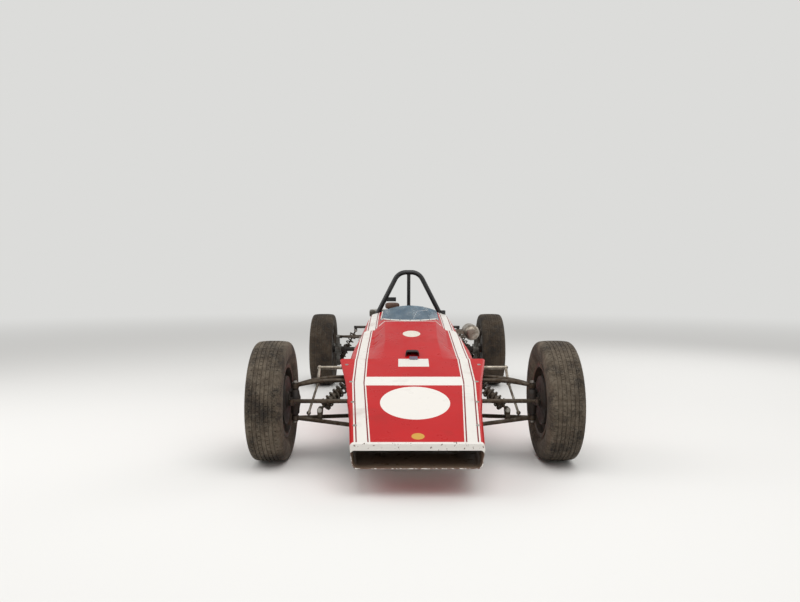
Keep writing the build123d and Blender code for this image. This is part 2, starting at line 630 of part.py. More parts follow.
# Each row is a gauge's place on the panel and its radius
GAUGES = ((0, 534, 28), (-82, 534, 26), (82, 534, 26), (-142, 514, 20))
with BuildPart() as dash_panel:
    with BuildSketch(Plane.XZ.offset(-DASH_Y)):
        with BuildLine():
            FilletPolyline(*DASH_OUTLINE, radius=18, close=True)
        make_face()
        with Locations((0, 489)):
            Circle(15, mode=Mode.SUBTRACT)
    extrude(amount=-DASH_THICKNESS)
    for x, z, radius in GAUGES:
        with BuildSketch(Plane.XZ.offset(-DASH_Y)):
            with Locations((x, z)):
                Circle(radius - 3)
        extrude(amount=30)
        with BuildSketch(Plane.XZ.offset(-DASH_Y - DASH_THICKNESS)):
            with Locations((x, z)):
                Circle(radius)
                Circle(radius - 4, mode=Mode.SUBTRACT)
        extrude(amount=-6)
dash_panel.part.label = "dash_panel"
export_step(dash_panel.part, "parts/dash_panel.step")

# Pedals on their shaft, and the gear lever on the right
PEDAL_Y = FRONT_AXLE_Y + 60.0
PEDAL_SHAFT_Z = FLOOR_TOP_Z + 28
PEDAL_XS = (-110.0, -45.0, 80.0)
PEDAL_TOP_Z = 285.0
with BuildPart() as driver_controls:
    pedal_pieces = [tube((-143, PEDAL_Y, PEDAL_SHAFT_Z), (118, PEDAL_Y, PEDAL_SHAFT_Z), 7)]
    for x in PEDAL_XS:
        pedal_pieces.append(tube((x, PEDAL_Y, PEDAL_SHAFT_Z), (x, PEDAL_Y - 35, PEDAL_TOP_Z), 6))
    stand_z = FLOOR_TOP_Z + SEAT_GAP + 15
    for x in (-143, -78, 43, 118):
        plane = Plane.YZ.offset(x)
        pedal_pieces.append(link_plate(plane, (PEDAL_Y, PEDAL_SHAFT_Z), 12, (PEDAL_Y, stand_z), 15, 6))
    add(pedal_pieces)
    for x in PEDAL_XS:
        with BuildSketch(Plane(origin=(x, PEDAL_Y - 30, PEDAL_TOP_Z), z_dir=(0, 1, 0.2))):
            RectangleRounded(56, 70, 8)
        extrude(amount=5)
    # Gear lever with its remote shaft along the right side of the cockpit
    lever_x = -(SEAT_HALF_WIDTH + 62)
    add(tube((lever_x, SEAM_Y + 190, 300), (lever_x, HOOP_Y - 30, 300), 8))
    add(tube((lever_x, SEAM_Y + 215, 300), (lever_x + 12, SEAM_Y + 205, 468), 6))
    with Locations((lever_x + 12, SEAM_Y + 205, 478)):
        Sphere(19)
    for y in (SEAM_Y + 200, HOOP_Y - 60):
        add(link_plate(Plane.XZ.offset(-y), (lever_x, 300), 13, (lever_x, stand_z), 15, 5))
driver_controls.part.label = "driver_controls"
export_step(driver_controls.part, "parts/driver_controls.step")

# Radiator in the nose
with BuildPart() as radiator:
    with BuildSketch(radiator_plane):
        Rectangle(RADIATOR_WIDTH, RADIATOR_HEIGHT, align=(Align.CENTER, Align.MIN))
    extrude(amount=-RADIATOR_DEPTH)
radiator.part.label = "radiator"
export_step(radiator.part, "parts/radiator.step")

# Steering rack housing with the pinion tower
PINION_DROP = 30.0
WHEEL_CENTRE = Vector(0, SEAM_Y + 210, 520)
PINION = Vector(0, RACK_Y, RACK_Z - PINION_DROP)
COLUMN_DIRECTION = (WHEEL_CENTRE - PINION).normalized()
TOWER_RADIUS = 17.0
with BuildPart() as rack_housing:
    add(tube((-RACK_HOUSING_HALF, RACK_Y, RACK_Z), (RACK_HOUSING_HALF, RACK_Y, RACK_Z), RACK_HOUSING_RADIUS))
    add(tube(PINION - COLUMN_DIRECTION * 26, PINION + COLUMN_DIRECTION * 34, TOWER_RADIUS))
    bore_ends = [(x, RACK_Y, RACK_Z) for x in (-RACK_HOUSING_HALF - 1, RACK_HOUSING_HALF + 1)]
    add(tube(*bore_ends, RACK_RADIUS + RUNNING_GAP), mode=Mode.SUBTRACT)
    add(
        tube(PINION - COLUMN_DIRECTION * 20, PINION + COLUMN_DIRECTION * 60, COLUMN_RADIUS + RUNNING_GAP),
        mode=Mode.SUBTRACT,
    )
rack_housing.part.label = "rack_housing"
export_step(rack_housing.part, "parts/rack_housing.step")

# Steering wheel with its column
RIM_SECTION = 11.0
column_plane = Plane(origin=WHEEL_CENTRE, x_dir=(1, 0, 0), z_dir=COLUMN_DIRECTION)
with BuildPart() as steering_wheel:
    with BuildLine() as rim_path:
        with Locations(column_plane):
            CenterArc((0, 0, 0), STEERING_WHEEL_RADIUS - RIM_SECTION, 0, 360)
    rim_start = rim_path.line @ 0
    with BuildSketch(Plane(origin=rim_start, z_dir=rim_path.line % 0)) as rim_section:
        Circle(RIM_SECTION)
    sweep(rim_section.sketch, path=rim_path.line)
    with BuildSketch(column_plane):
        Circle(34)
        for angle in (0, 180, 270):
            with Locations(Location((0, 0), angle)):
                Rectangle(STEERING_WHEEL_RADIUS - RIM_SECTION, 22, align=(Align.MIN, Align.CENTER))
    extrude(amount=2.5, both=True)
    add(tube(PINION - COLUMN_DIRECTION * 19, WHEEL_CENTRE, COLUMN_RADIUS))
    add(tube(WHEEL_CENTRE - COLUMN_DIRECTION * 30, WHEEL_CENTRE + COLUMN_DIRECTION * 8, 22))
steering_wheel.part.label = "steering_wheel"
export_step(steering_wheel.part, "parts/steering_wheel.step")

# Sliding rack with its track rods, open at the outer ball joints
ROD_EYE_RADIUS = 14.0
ROD_PIN_RADIUS = 5.0
ROD_EYE_BORE = 8.0
RACK_TRAVEL = STEER_ARM_LENGTH * STEER_LOCK
RACK_BALL = 15.0
rack_end = RACK_HOUSING_HALF + RACK_TRAVEL + RACK_BALL + 4
with BuildPart() as track_rods:
    add(tube((-rack_end, RACK_Y, RACK_Z), (rack_end, RACK_Y, RACK_Z), RACK_RADIUS))
    for side in (-1, 1):
        with Locations((side * rack_end, RACK_Y, RACK_Z)):
            Sphere(RACK_BALL)
        rod_ends = [(side * x, RACK_Y, RACK_Z) for x in (rack_end, STEER_ARM_X - 4)]
        add(tube(*rod_ends, TRACK_ROD_RADIUS))
        eye = (side * STEER_ARM_X, RACK_Y)
        add(disc_along(Plane.XY.offset(RACK_Z), eye, ROD_EYE_RADIUS, 14))
        add(disc_along(Plane.XY.offset(RACK_Z), eye, ROD_EYE_BORE, 16), mode=Mode.SUBTRACT)
track_rods.part.label = "track_rods"
export_step(track_rods.part, "parts/track_rods.step")

# Front wishbones: bent upper arms and straight lower ones, with the kingpin's bosses at their tips
with BuildPart() as front_wishbones:
    for ball_z, pivots, upper in ((UPPER_BALL_Z, UPPER_PIVOTS, True), (LOWER_BALL_Z, LOWER_PIVOTS, False)):
        tip = (KINGPIN_X, FRONT_AXLE_Y, ball_z)
        ball_plane = Plane.XY.offset(ball_z)
        pieces = [disc_along(ball_plane, tip[:2], BALL_BOSS_RADIUS, BALL_BOSS_HEIGHT)]
        for pivot in pivots:
            x, y, z = pivot
            pieces.append(disc_along(Plane.XZ.offset(-y), (x, z), EYE_RADIUS, EYE_LENGTH))
            if upper:
                middle = ((tip[0] + x) / 2 + 30, (tip[1] + y) / 2 - 10, max(ball_z, z) + 14)
                pieces.append(arc_tube(tip, middle, pivot, ARM_RADIUS))
            else:
                pieces.append(tube(tip, pivot, ARM_RADIUS))
        add(pieces)
        for x, y, z in pivots:
            bored((x, z), Plane.XZ.offset(-y), BOLT_RADIUS, EYE_LENGTH + 2)
        bored(tip[:2], ball_plane, PIN_RADIUS + RUNNING_GAP, BALL_BOSS_HEIGHT + 2)
    # Mount of the damper's foot and of the anti-roll bar's drop link, between the legs of the lower arm
    foot_x, foot_y, foot_z = FRONT_DAMPER_FOOT
    share = (KINGPIN_X - foot_x) / (KINGPIN_X - LOWER_PIVOTS[0][0])
    leg_ys = [FRONT_AXLE_Y + share * (y - FRONT_AXLE_Y) for _, y, _ in LOWER_PIVOTS]
    leg_z = LOWER_BALL_Z + share * (LOWER_PIVOTS[0][2] - LOWER_BALL_Z)
    add(tube((foot_x, leg_ys[0], leg_z), (foot_x, leg_ys[1], leg_z), 9))
    add(clevis(FRONT_DAMPER_FOOT, (foot_x, leg_z), FRONT_DAMPER_EYE))
    mirror(about=Plane.YZ)
front_wishbones.part.label = "front_wishbones"
export_step(front_wishbones.part, "parts/front_wishbones.step")


def damper_frame(foot, top):
    """A plane at the damper's foot whose normal points at its top, with the distance between them."""
    run = Vector(*top) - Vector(*foot)
    return Plane(origin=foot, x_dir=Vector(0, 1, 0).cross(run), z_dir=run), run.length


def damper(foot, top, eye):
    """One damper with its eyes, spring seats, body and rod, on the left side."""
    plane, length = damper_frame(foot, top)
    pieces = []
    for near, far, radius in (
        (0, length, 6.5),
        (34, length * 0.55, 20),
        (SPRING_SEAT - 8, SPRING_SEAT, SPRING_RADIUS + 7),
        (length - SPRING_SEAT, length - SPRING_SEAT + 8, SPRING_RADIUS + 7),
    ):
        with BuildSketch(plane.offset(near)) as section:
            Circle(radius)
        pieces.append(extrude(section.sketch, amount=far - near, mode=Mode.PRIVATE))
    for x, y, z in (foot, top):
        pieces.append(disc_along(Plane.XZ.offset(-y), (x, z), EYE_RADIUS, eye))
    return pieces


def spring(foot, top, turns):
    """One coil spring between the damper's seats, on the left side."""
    plane, length = damper_frame(foot, top)
    seat = SPRING_SEAT + SPRING_WIRE + SEAT_GAP
    height = length - 2 * seat
    coil = Helix(pitch=height / turns, height=height, radius=SPRING_RADIUS, mode=Mode.PRIVATE)
    section_plane = Plane(origin=coil @ 0, z_dir=coil % 0)
    with BuildSketch(section_plane) as section:
        Circle(SPRING_WIRE)
    wire = sweep(section.sketch, path=coil, is_frenet=True, mode=Mode.PRIVATE)
    return plane.offset(seat).from_local_coords(wire)


DAMPERS = (
    ("front", FRONT_DAMPER_FOOT, FRONT_DAMPER_TOP, FRONT_DAMPER_EYE, 7),
    ("rear", REAR_DAMPER_FOOT, REAR_DAMPER_TOP, REAR_DAMPER_EYE, 6),
)
for name, foot, top, eye, turns in DAMPERS:
    with BuildPart() as dampers:
        add(damper(foot, top, eye))
        for x, y, z in (foot, top):
            bored((x, z), Plane.XZ.offset(-y), BOLT_RADIUS, eye + 2)
        mirror(about=Plane.YZ)
    dampers.part.label = f"{name}_dampers"
    export_step(dampers.part, f"parts/{name}_dampers.step")

    with BuildPart() as springs:
        add(spring(foot, top, turns))
        mirror(about=Plane.YZ)
    springs.part.label = f"{name}_springs"
    export_step(springs.part, f"parts/{name}_springs.step")

# Wheel hubs, rims and tyres; "out" is the distance outboard of the wheel's middle plane
HUB_OUTER = 26.0
SHAFT_RADIUS = 18.0
SHAFT_COUPLING_RADIUS = 50.0
GEARBOX_OUTPUT_X = 128.0
REAR_HUB_SHAFT_RADIUS = 24.0
RIM_SEAT = 4.0
VENT_COUNT = 8
STUD_COUNT = 4
Wheel = namedtuple("Wheel", "name side track axle_y radius width driven")
WHEELS = (
    Wheel("front_left", 1, FRONT_TRACK, FRONT_AXLE_Y, FRONT_TYRE_RADIUS, FRONT_TYRE_WIDTH, False),
    Wheel("front_right", -1, FRONT_TRACK, FRONT_AXLE_Y, FRONT_TYRE_RADIUS, FRONT_TYRE_WIDTH, False),
    Wheel("rear_left", 1, REAR_TRACK, REAR_AXLE_Y, REAR_TYRE_RADIUS, REAR_TYRE_WIDTH, True),
    Wheel("rear_right", -1, REAR_TRACK, REAR_AXLE_Y, REAR_TYRE_RADIUS, REAR_TYRE_WIDTH, True),
)
for wheel in WHEELS:
    middle = Vector(wheel.side * wheel.track / 2, wheel.axle_y, wheel.radius)
    # Local X runs outboard along the axle and local Y runs up, so a profile reads as (out, radius)
    profile_plane = Plane(origin=middle, x_dir=(wheel.side, 0, 0), z_dir=(0, -wheel.side, 0))
    face_plane = Plane(origin=middle, x_dir=(0, 1, 0), z_dir=(wheel.side, 0, 0))
    axle = Axis(middle, (wheel.side, 0, 0))

    with BuildPart() as tyre:
        half = wheel.width / 2
        bead_half = RIM_HALF_WIDTH - RIM_WALL - SEAT_GAP
        with BuildSketch(profile_plane):
            with BuildLine():
                crown = wheel.radius
                FilletPolyline(
                    (-bead_half, BEAD_RADIUS + SEAT_GAP),
                    (-bead_half, RIM_FLANGE_RADIUS + 6),
                    (-half, crown - 62),
                    (-half + 6, crown),
                    (half - 6, crown),
                    (half, crown - 62),
                    (bead_half, RIM_FLANGE_RADIUS + 6),
                    (bead_half, BEAD_RADIUS + SEAT_GAP),
                    (bead_half - 14, BEAD_RADIUS + SEAT_GAP),
                    (half - 12, crown - 64),
                    (half - 24, crown - 17),
                    (24 - half, crown - 17),
                    (12 - half, crown - 64),
                    (14 - bead_half, BEAD_RADIUS + SEAT_GAP),
                    radius=(0, 20, 50, 24, 24, 50, 20, 0, 0, 40, 12, 12, 40, 0),
                    close=True,
                )
            make_face()
        revolve(axis=axle)
    tyre.part.label = f"tyre_{wheel.name}"
    export_step(tyre.part, f"parts/tyre_{wheel.name}.step")

    with BuildPart() as rim:
        wall = RIM_WALL
        well = WELL_RADIUS
        edge = RIM_HALF_WIDTH
        with BuildSketch(profile_plane):
            with BuildLine():
                Polyline(
                    (-edge, RIM_FLANGE_RADIUS),
                    (-edge + wall, RIM_FLANGE_RADIUS),
                    (-edge + wall, BEAD_RADIUS),
                    (-edge + 30, BEAD_RADIUS - 2),
                    (-edge + 44, well),
                    (edge - 44, well),
                    (edge - 30, BEAD_RADIUS - 2),
                    (edge - wall, BEAD_RADIUS),
                    (edge - wall, RIM_FLANGE_RADIUS),
                    (edge, RIM_FLANGE_RADIUS),
                    (edge, BEAD_RADIUS - wall),
                    (edge - 27, BEAD_RADIUS - wall - 2),
                    (edge - 40, well - wall),
                    (22, well - wall),
                    (30, 118),
                    (RIM_SEAT + wall + 1, 82),
                    (RIM_SEAT + wall + 1, HUB_RADIUS + 4),
                    (RIM_SEAT, HUB_RADIUS + 4),
                    (RIM_SEAT, 84),
                    (25, 120),
                    (15, well - wall),
                    (-edge + 40, well - wall),
                    (-edge + 27, BEAD_RADIUS - wall - 2),
                    (-edge, BEAD_RADIUS - wall),
                    close=True,
                )
            make_face()
        revolve(axis=axle)
        with BuildSketch(face_plane):
            with PolarLocations(117, VENT_COUNT):
                SlotOverall(34, 20, rotation=90)
        extrude(amount=60, mode=Mode.SUBTRACT)
        with BuildSketch(face_plane):
            with PolarLocations(47, STUD_COUNT):
                Circle(7)
        extrude(amount=30, mode=Mode.SUBTRACT)
    rim.part.label = f"rim_{wheel.name}"
    export_step(rim.part, f"parts/rim_{wheel.name}.step")

    with BuildPart() as hub:
        with BuildSketch(profile_plane):
            with BuildLine():
                Polyline(
                    (-HUB_INNER, 0),
                    (-HUB_INNER, HUB_RADIUS),
                    (-DISC_OFFSET - DISC_THICKNESS / 2, HUB_RADIUS + 14),
                    (-DISC_OFFSET - DISC_THICKNESS / 2, DISC_RADIUS),
                    (-DISC_OFFSET + DISC_THICKNESS / 2, DISC_RADIUS),
                    (-DISC_OFFSET + DISC_THICKNESS / 2, 62),
                    (-30, 56),
                    (-22, HUB_RADIUS + 8),
                    (RIM_SEAT - 10, HUB_RADIUS + 8),
                    (RIM_SEAT - 10, HUB_FLANGE_RADIUS),
                    (RIM_SEAT, HUB_FLANGE_RADIUS),
                    (RIM_SEAT, HUB_RADIUS),
                    (HUB_OUTER, HUB_RADIUS - 3),
                    (HUB_OUTER + 4, HUB_RADIUS - 9),
                    (HUB_OUTER + 4, 0),
                    close=True,
                )
            make_face()
        revolve(axis=axle)
        with BuildSketch(face_plane.offset(RIM_SEAT - 1)):
            with PolarLocations(47, STUD_COUNT):
                Circle(6)
        extrude(amount=24)
        with BuildSketch(face_plane.offset(RIM_SEAT + RIM_WALL + 1 + SEAT_GAP)):
            with PolarLocations(47, STUD_COUNT):
                RegularPolygon(11, 6)
        extrude(amount=12)
        inner_x = wheel.track / 2 - HUB_INNER
        if wheel.driven:
            # The driveshaft runs from the gearbox's output to the hub, through the upright's bearing
            output = (wheel.side * (GEARBOX_OUTPUT_X - 20), wheel.axle_y, wheel.radius)
            add(tube(output, middle, SHAFT_RADIUS - 3))
            for start, end, radius in (
                (GEARBOX_OUTPUT_X + 5, GEARBOX_OUTPUT_X + 17, SHAFT_COUPLING_RADIUS - 8),
                (GEARBOX_OUTPUT_X + 17, GEARBOX_OUTPUT_X + 47, SHAFT_COUPLING_RADIUS),
                (GEARBOX_OUTPUT_X + 47, GEARBOX_OUTPUT_X + 57, SHAFT_COUPLING_RADIUS - 20),
                (GEARBOX_OUTPUT_X + 50, inner_x - 90, SHAFT_RADIUS),
                (inner_x - 110, inner_x - 90, REAR_HUB_SHAFT_RADIUS + 12),
                (inner_x - 90, inner_x, REAR_HUB_SHAFT_RADIUS),
            ):
                points = [(wheel.side * x, wheel.axle_y, wheel.radius) for x in (start, end)]
                add(tube(*points, radius))
        else:
            bore = [(wheel.side * x, wheel.axle_y, wheel.radius) for x in (inner_x - 1, wheel.track / 2 + 6)]
            add(tube(*bore, STUB_RADIUS + RUNNING_GAP), mode=Mode.SUBTRACT)
    hub.part.label = f"hub_{wheel.name}"
    export_step(hub.part, f"parts/hub_{wheel.name}.step")

# Caliper over a brake disc, as a block with a slot, behind or ahead of the axle
CALIPER_GAP = 2.0
CALIPER_HALF = 17.0


def caliper(track, axle_y, axle_z):
    """The brake caliper of a left wheel, behind its axle."""
    disc_x = track / 2 - DISC_OFFSET
    with BuildSketch(Plane.YZ.offset(disc_x - CALIPER_HALF)) as outline:
        with BuildLine():
            FilletPolyline(
                (axle_y + 72, axle_z - 34),
                (axle_y + 120, axle_z - 40),
                (axle_y + 134, axle_z),
                (axle_y + 120, axle_z + 40),
                (axle_y + 72, axle_z + 34),
                radius=8,
                close=True,
            )
        make_face()
    return extrude(outline.sketch, amount=2 * CALIPER_HALF, mode=Mode.PRIVATE)


def caliper_slot(track, axle_y, axle_z):
    """The space that the brake disc of a left wheel turns in."""
    disc_x = track / 2 - DISC_OFFSET
    plane = Plane.YZ.offset(disc_x)
    return disc_along(plane, (axle_y, axle_z), DISC_RADIUS + 4, DISC_THICKNESS + 2 * CALIPER_GAP)


# Front uprights: kingpin, stub axle, steering arm and caliper, which turn together
for name, side in (("left", 1), ("right", -1)):
    with BuildPart() as knuckle:
        axle_z = FRONT_TYRE_RADIUS
        stub_root = FRONT_TRACK / 2 - HUB_INNER - 4
        top = UPPER_BALL_Z - BALL_BOSS_HEIGHT / 2 - SEAT_GAP
        bottom = LOWER_BALL_Z + BALL_BOSS_HEIGHT / 2 + SEAT_GAP
        kingpin = (KINGPIN_X, FRONT_AXLE_Y)
        add(caliper(FRONT_TRACK, FRONT_AXLE_Y, axle_z))
        add(caliper_slot(FRONT_TRACK, FRONT_AXLE_Y, axle_z), mode=Mode.SUBTRACT)
        add([
            tube((*kingpin, bottom), (*kingpin, top), KINGPIN_RADIUS),
            tube((*kingpin, LOWER_BALL_Z - 14), (*kingpin, UPPER_BALL_Z + 14), PIN_RADIUS),
            tube((KINGPIN_X, FRONT_AXLE_Y, axle_z), (stub_root, FRONT_AXLE_Y, axle_z), 24),
            tube((KINGPIN_X, FRONT_AXLE_Y, axle_z), (FRONT_TRACK / 2 + 4, FRONT_AXLE_Y, axle_z), STUB_RADIUS),
        ])
        arm_plane = Plane.XY.offset(RACK_Z - 7 - SEAT_GAP - 6)
        arm_tip = (STEER_ARM_X, FRONT_AXLE_Y - STEER_ARM_LENGTH)
        add(link_plate(arm_plane, kingpin, KINGPIN_RADIUS + 3, arm_tip, 12, 12))
        add(disc_along(Plane.XY.offset(RACK_Z), arm_tip, ROD_PIN_RADIUS, 34))
        plate_x = FRONT_TRACK / 2 - DISC_OFFSET - CALIPER_HALF - 2
        caliper_mount = (FRONT_AXLE_Y + 96, axle_z)
        add(link_plate(Plane.YZ.offset(plate_x), (FRONT_AXLE_Y, axle_z), 28, caliper_mount, 22, 8))
        if side < 0:
            mirror(about=Plane.YZ, mode=Mode.REPLACE)
    knuckle.part.label = f"knuckle_{name}"
    export_step(knuckle.part, f"parts/knuckle_{name}.step")

# Rear uprights with their bearings and calipers
UPRIGHT_TOP_RADIUS = 15.0
UPRIGHT_FOOT_RADIUS = 20.0
TOP_STANDOFF = 12.0
FOOT_STANDOFF = 5.0
LINK_EYE_LENGTH = 24.0
TOP_EYE_Y = UPRIGHT_TOP[1] + UPRIGHT_TOP_RADIUS + TOP_STANDOFF + SEAT_GAP + LINK_EYE_LENGTH / 2
FOOT_EYE_Y = UPRIGHT_FOOT[1] + UPRIGHT_FOOT_RADIUS + FOOT_STANDOFF + SEAT_GAP + LINK_EYE_LENGTH / 2
EYE_REACH = LINK_EYE_LENGTH / 2 + SEAT_GAP


def upright_pin(corner, start_y, end_y, radius):
    """A pin or spacer along the car through a corner of the rear upright."""
    x, _, z = corner
    return tube((x, start_y, z), (x, end_y, z), radius)


with BuildPart() as rear_uprights:
    axle_z = REAR_TYRE_RADIUS
    axle = (REAR_AXLE_Y, axle_z)
    middle_plane = Plane.YZ.offset(UPRIGHT_X)
    plate_x = UPRIGHT_X + UPRIGHT_HALF - 4
    caliper_mount = (REAR_AXLE_Y + 96, axle_z)
    caliper_x = REAR_TRACK / 2 - DISC_OFFSET - 15
    damper_face_y = REAR_DAMPER_FOOT[1] - REAR_DAMPER_EYE / 2 - SEAT_GAP
    add(caliper(REAR_TRACK, REAR_AXLE_Y, axle_z))
    add(caliper_slot(REAR_TRACK, REAR_AXLE_Y, axle_z), mode=Mode.SUBTRACT)
    add([
        disc_along(middle_plane, axle, 44, 2 * UPRIGHT_HALF),
        link_plate(middle_plane, axle, 36, UPRIGHT_TOP[1:], UPRIGHT_TOP_RADIUS, 26),
        link_plate(middle_plane, axle, 36, UPRIGHT_FOOT[1:], UPRIGHT_FOOT_RADIUS, 26),
        upright_pin(UPRIGHT_TOP, UPRIGHT_TOP[1], TOP_EYE_Y + EYE_REACH + 6, BOLT_RADIUS - SEAT_GAP),
        upright_pin(UPRIGHT_TOP, UPRIGHT_TOP[1], TOP_EYE_Y - EYE_REACH, 9),
        upright_pin(UPRIGHT_FOOT, UPRIGHT_FOOT[1], REAR_DAMPER_FOOT[1] + 18, BOLT_RADIUS - SEAT_GAP),
        upright_pin(UPRIGHT_FOOT, UPRIGHT_FOOT[1], FOOT_EYE_Y - EYE_REACH, 9),
        upright_pin(UPRIGHT_FOOT, FOOT_EYE_Y + EYE_REACH, damper_face_y, 9),
        tube(UPRIGHT_TOP, (UPRIGHT_X - 40, *UPRIGHT_TOP[1:]), BOLT_RADIUS - SEAT_GAP),
        tube(UPRIGHT_FOOT, (UPRIGHT_X - 40, *UPRIGHT_FOOT[1:]), BOLT_RADIUS - SEAT_GAP),
        link_plate(Plane.YZ.offset(plate_x), axle, 40, caliper_mount, 22, 8),
        tube((plate_x, *caliper_mount), (caliper_x, *caliper_mount), 12),
    ])
    bored(axle, middle_plane, REAR_HUB_SHAFT_RADIUS + RUNNING_GAP, 2 * UPRIGHT_HALF + 8)
    mirror(about=Plane.YZ)
rear_uprights.part.label = "rear_uprights"
export_step(rear_uprights.part, "parts/rear_uprights.step")

# Engine: block with its sump, and the cylinder head
ENGINE_REAR_Y = ENGINE_FRONT_Y + ENGINE_LENGTH
MOUNT_FOOT_RADIUS = 12.0
with BuildPart() as engine_block:
    with BuildSketch(Plane.XZ.offset(-ENGINE_FRONT_Y)):
        with BuildLine():
            FilletPolyline(
                (-80, SUMP_Z),
                (80, SUMP_Z),
                (BLOCK_HALF_WIDTH, CRANK_Z - 20),
                (BLOCK_HALF_WIDTH, CRANK_Z + 60),
                (82, CRANK_Z + 100),
                (82, DECK_Z),
                (-82, DECK_Z),
                (-82, CRANK_Z + 100),
                (-BLOCK_HALF_WIDTH, CRANK_Z + 60),
                (-BLOCK_HALF_WIDTH, CRANK_Z - 20),
                radius=(14, 14, 12, 12, 8, 2, 2, 8, 12, 12),
                close=True,
            )
        make_face()
    extrude(amount=-ENGINE_LENGTH)
    with BuildSketch(Plane.XZ.offset(-ENGINE_FRONT_Y)):
        with Locations((0, (DECK_Z + HEAD_TOP_Z) / 2)):
            Rectangle(180, HEAD_TOP_Z - DECK_Z)
    extrude(amount=-ENGINE_LENGTH + 20)
    for z, radius, y_end in ((CRANK_Z, 66, 36), (400, 52, 40)):
        with BuildSketch(Plane.XZ.offset(-ENGINE_FRONT_Y)):
            with Locations((0, z)):
                Circle(radius)
        extrude(amount=y_end)
    # Mounts stand on the lower rails of the frame
    for side in (-1, 1):
        for y in (ENGINE_FRONT_Y + 60, ENGINE_FRONT_Y + 380):
            rail_x, rail_z = rail_at(HOOP_BULKHEAD, REAR_BULKHEAD, y, False)
            foot_z = rail_z + FRAME_TUBE + SEAT_GAP + MOUNT_FOOT_RADIUS
            block_side = (side * (BLOCK_HALF_WIDTH - 10), CRANK_Z)
            foot = (side * rail_x, foot_z)
            add(link_plate(Plane.XZ.offset(-y), block_side, 18, foot, MOUNT_FOOT_RADIUS, 26))
engine_block.part.label = "engine_block"
export_step(engine_block.part, "parts/engine_block.step")

with BuildPart() as rocker_cover:
    with BuildSketch(Plane.XY.offset(HEAD_TOP_Z + SEAT_GAP)):
        with Locations((0, ENGINE_FRONT_Y + ENGINE_LENGTH / 2 - 10)):
            RectangleRounded(146, ENGINE_LENGTH - 50, 30)
    extrude(amount=66, taper=6)
    fillet(rocker_cover.faces().sort_by(Axis.Z)[-1].edges(), radius=12)
    with Locations((30, ENGINE_FRONT_Y + 110, HEAD_TOP_Z + 66)):
        Cylinder(24, 26)
rocker_cover.part.label = "rocker_cover"
export_step(rocker_cover.part, "parts/rocker_cover.step")

PRIMARY_RADIUS = 17.0

# Carburettor on its manifold, with the air filter, on the driver's right
CARB_X = -208.0
CARB_Y = ENGINE_FRONT_Y + ENGINE_LENGTH / 2 - 10
PORT_Z = HEAD_TOP_Z - 42
with BuildPart() as carburettor:
    pieces = []
    for offset in (-150, -55, 55, 150):
        port = (-90 - SEAT_GAP, CARB_Y + offset, PORT_Z)
        elbow = (-126, CARB_Y + offset, PORT_Z)
        throat = (CARB_X + 10, CARB_Y + offset * 0.25, PORT_Z + 20)
        pieces.append(bent_tube([port, elbow, throat], 22, PRIMARY_RADIUS))
    add(pieces)
    with BuildSketch(Plane.XY.offset(PORT_Z + 8)):
        with Locations((CARB_X, CARB_Y)):
            RectangleRounded(82, 112, 12)
    extrude(amount=26)
    with BuildSketch(Plane.XY.offset(PORT_Z + 34)):
        with Locations((CARB_X, CARB_Y)):
            RectangleRounded(66, 94, 10)
    extrude(amount=62)
    with BuildSketch(Plane.XY.offset(PORT_Z + 96)):
        with Locations((CARB_X, CARB_Y)):
            Circle(84)
    extrude(amount=52)
    fillet(carburettor.faces().sort_by(Axis.Z)[-1].edges(), radius=8)
carburettor.part.label = "carburettor"
export_step(carburettor.part, "parts/carburettor.step")

# Exhaust: four primaries into a collector and one tail pipe past the axle, on the driver's left
COLLECTOR = (172.0, ENGINE_FRONT_Y + ENGINE_LENGTH - 20, 548.0)
PIPE_X = 236.0
PIPE_BORE_DEPTH = 280.0
PIPE_Z = 552.0
tail_points = [
    COLLECTOR,
    (PIPE_X - 20, ENGINE_REAR_Y + 150, PIPE_Z),
    (PIPE_X, TAIL_Y - 400, PIPE_Z),
    (PIPE_X, TAIL_Y, PIPE_Z),
]
with BuildPart() as exhaust:
    pieces = [bent_tube(tail_points, 150, EXHAUST_RADIUS)]
    for offset in (-165, -60, 60, 165):
        port = (90 + SEAT_GAP, CARB_Y + offset, PORT_Z)
        elbow = (150, CARB_Y + offset, PORT_Z)
        merge = (COLLECTOR[0], COLLECTOR[1] + 6, COLLECTOR[2])
        pieces.append(bent_tube([port, elbow, merge], 26, PRIMARY_RADIUS))
    for piece in pieces:
        add(piece)
    bore_ends = [(PIPE_X, TAIL_Y - PIPE_BORE_DEPTH, PIPE_Z), (PIPE_X, TAIL_Y + 1, PIPE_Z)]
    add(tube(*bore_ends, EXHAUST_RADIUS - EXHAUST_WALL), mode=Mode.SUBTRACT)
exhaust.part.label = "exhaust"
export_step(exhaust.part, "parts/exhaust.step")

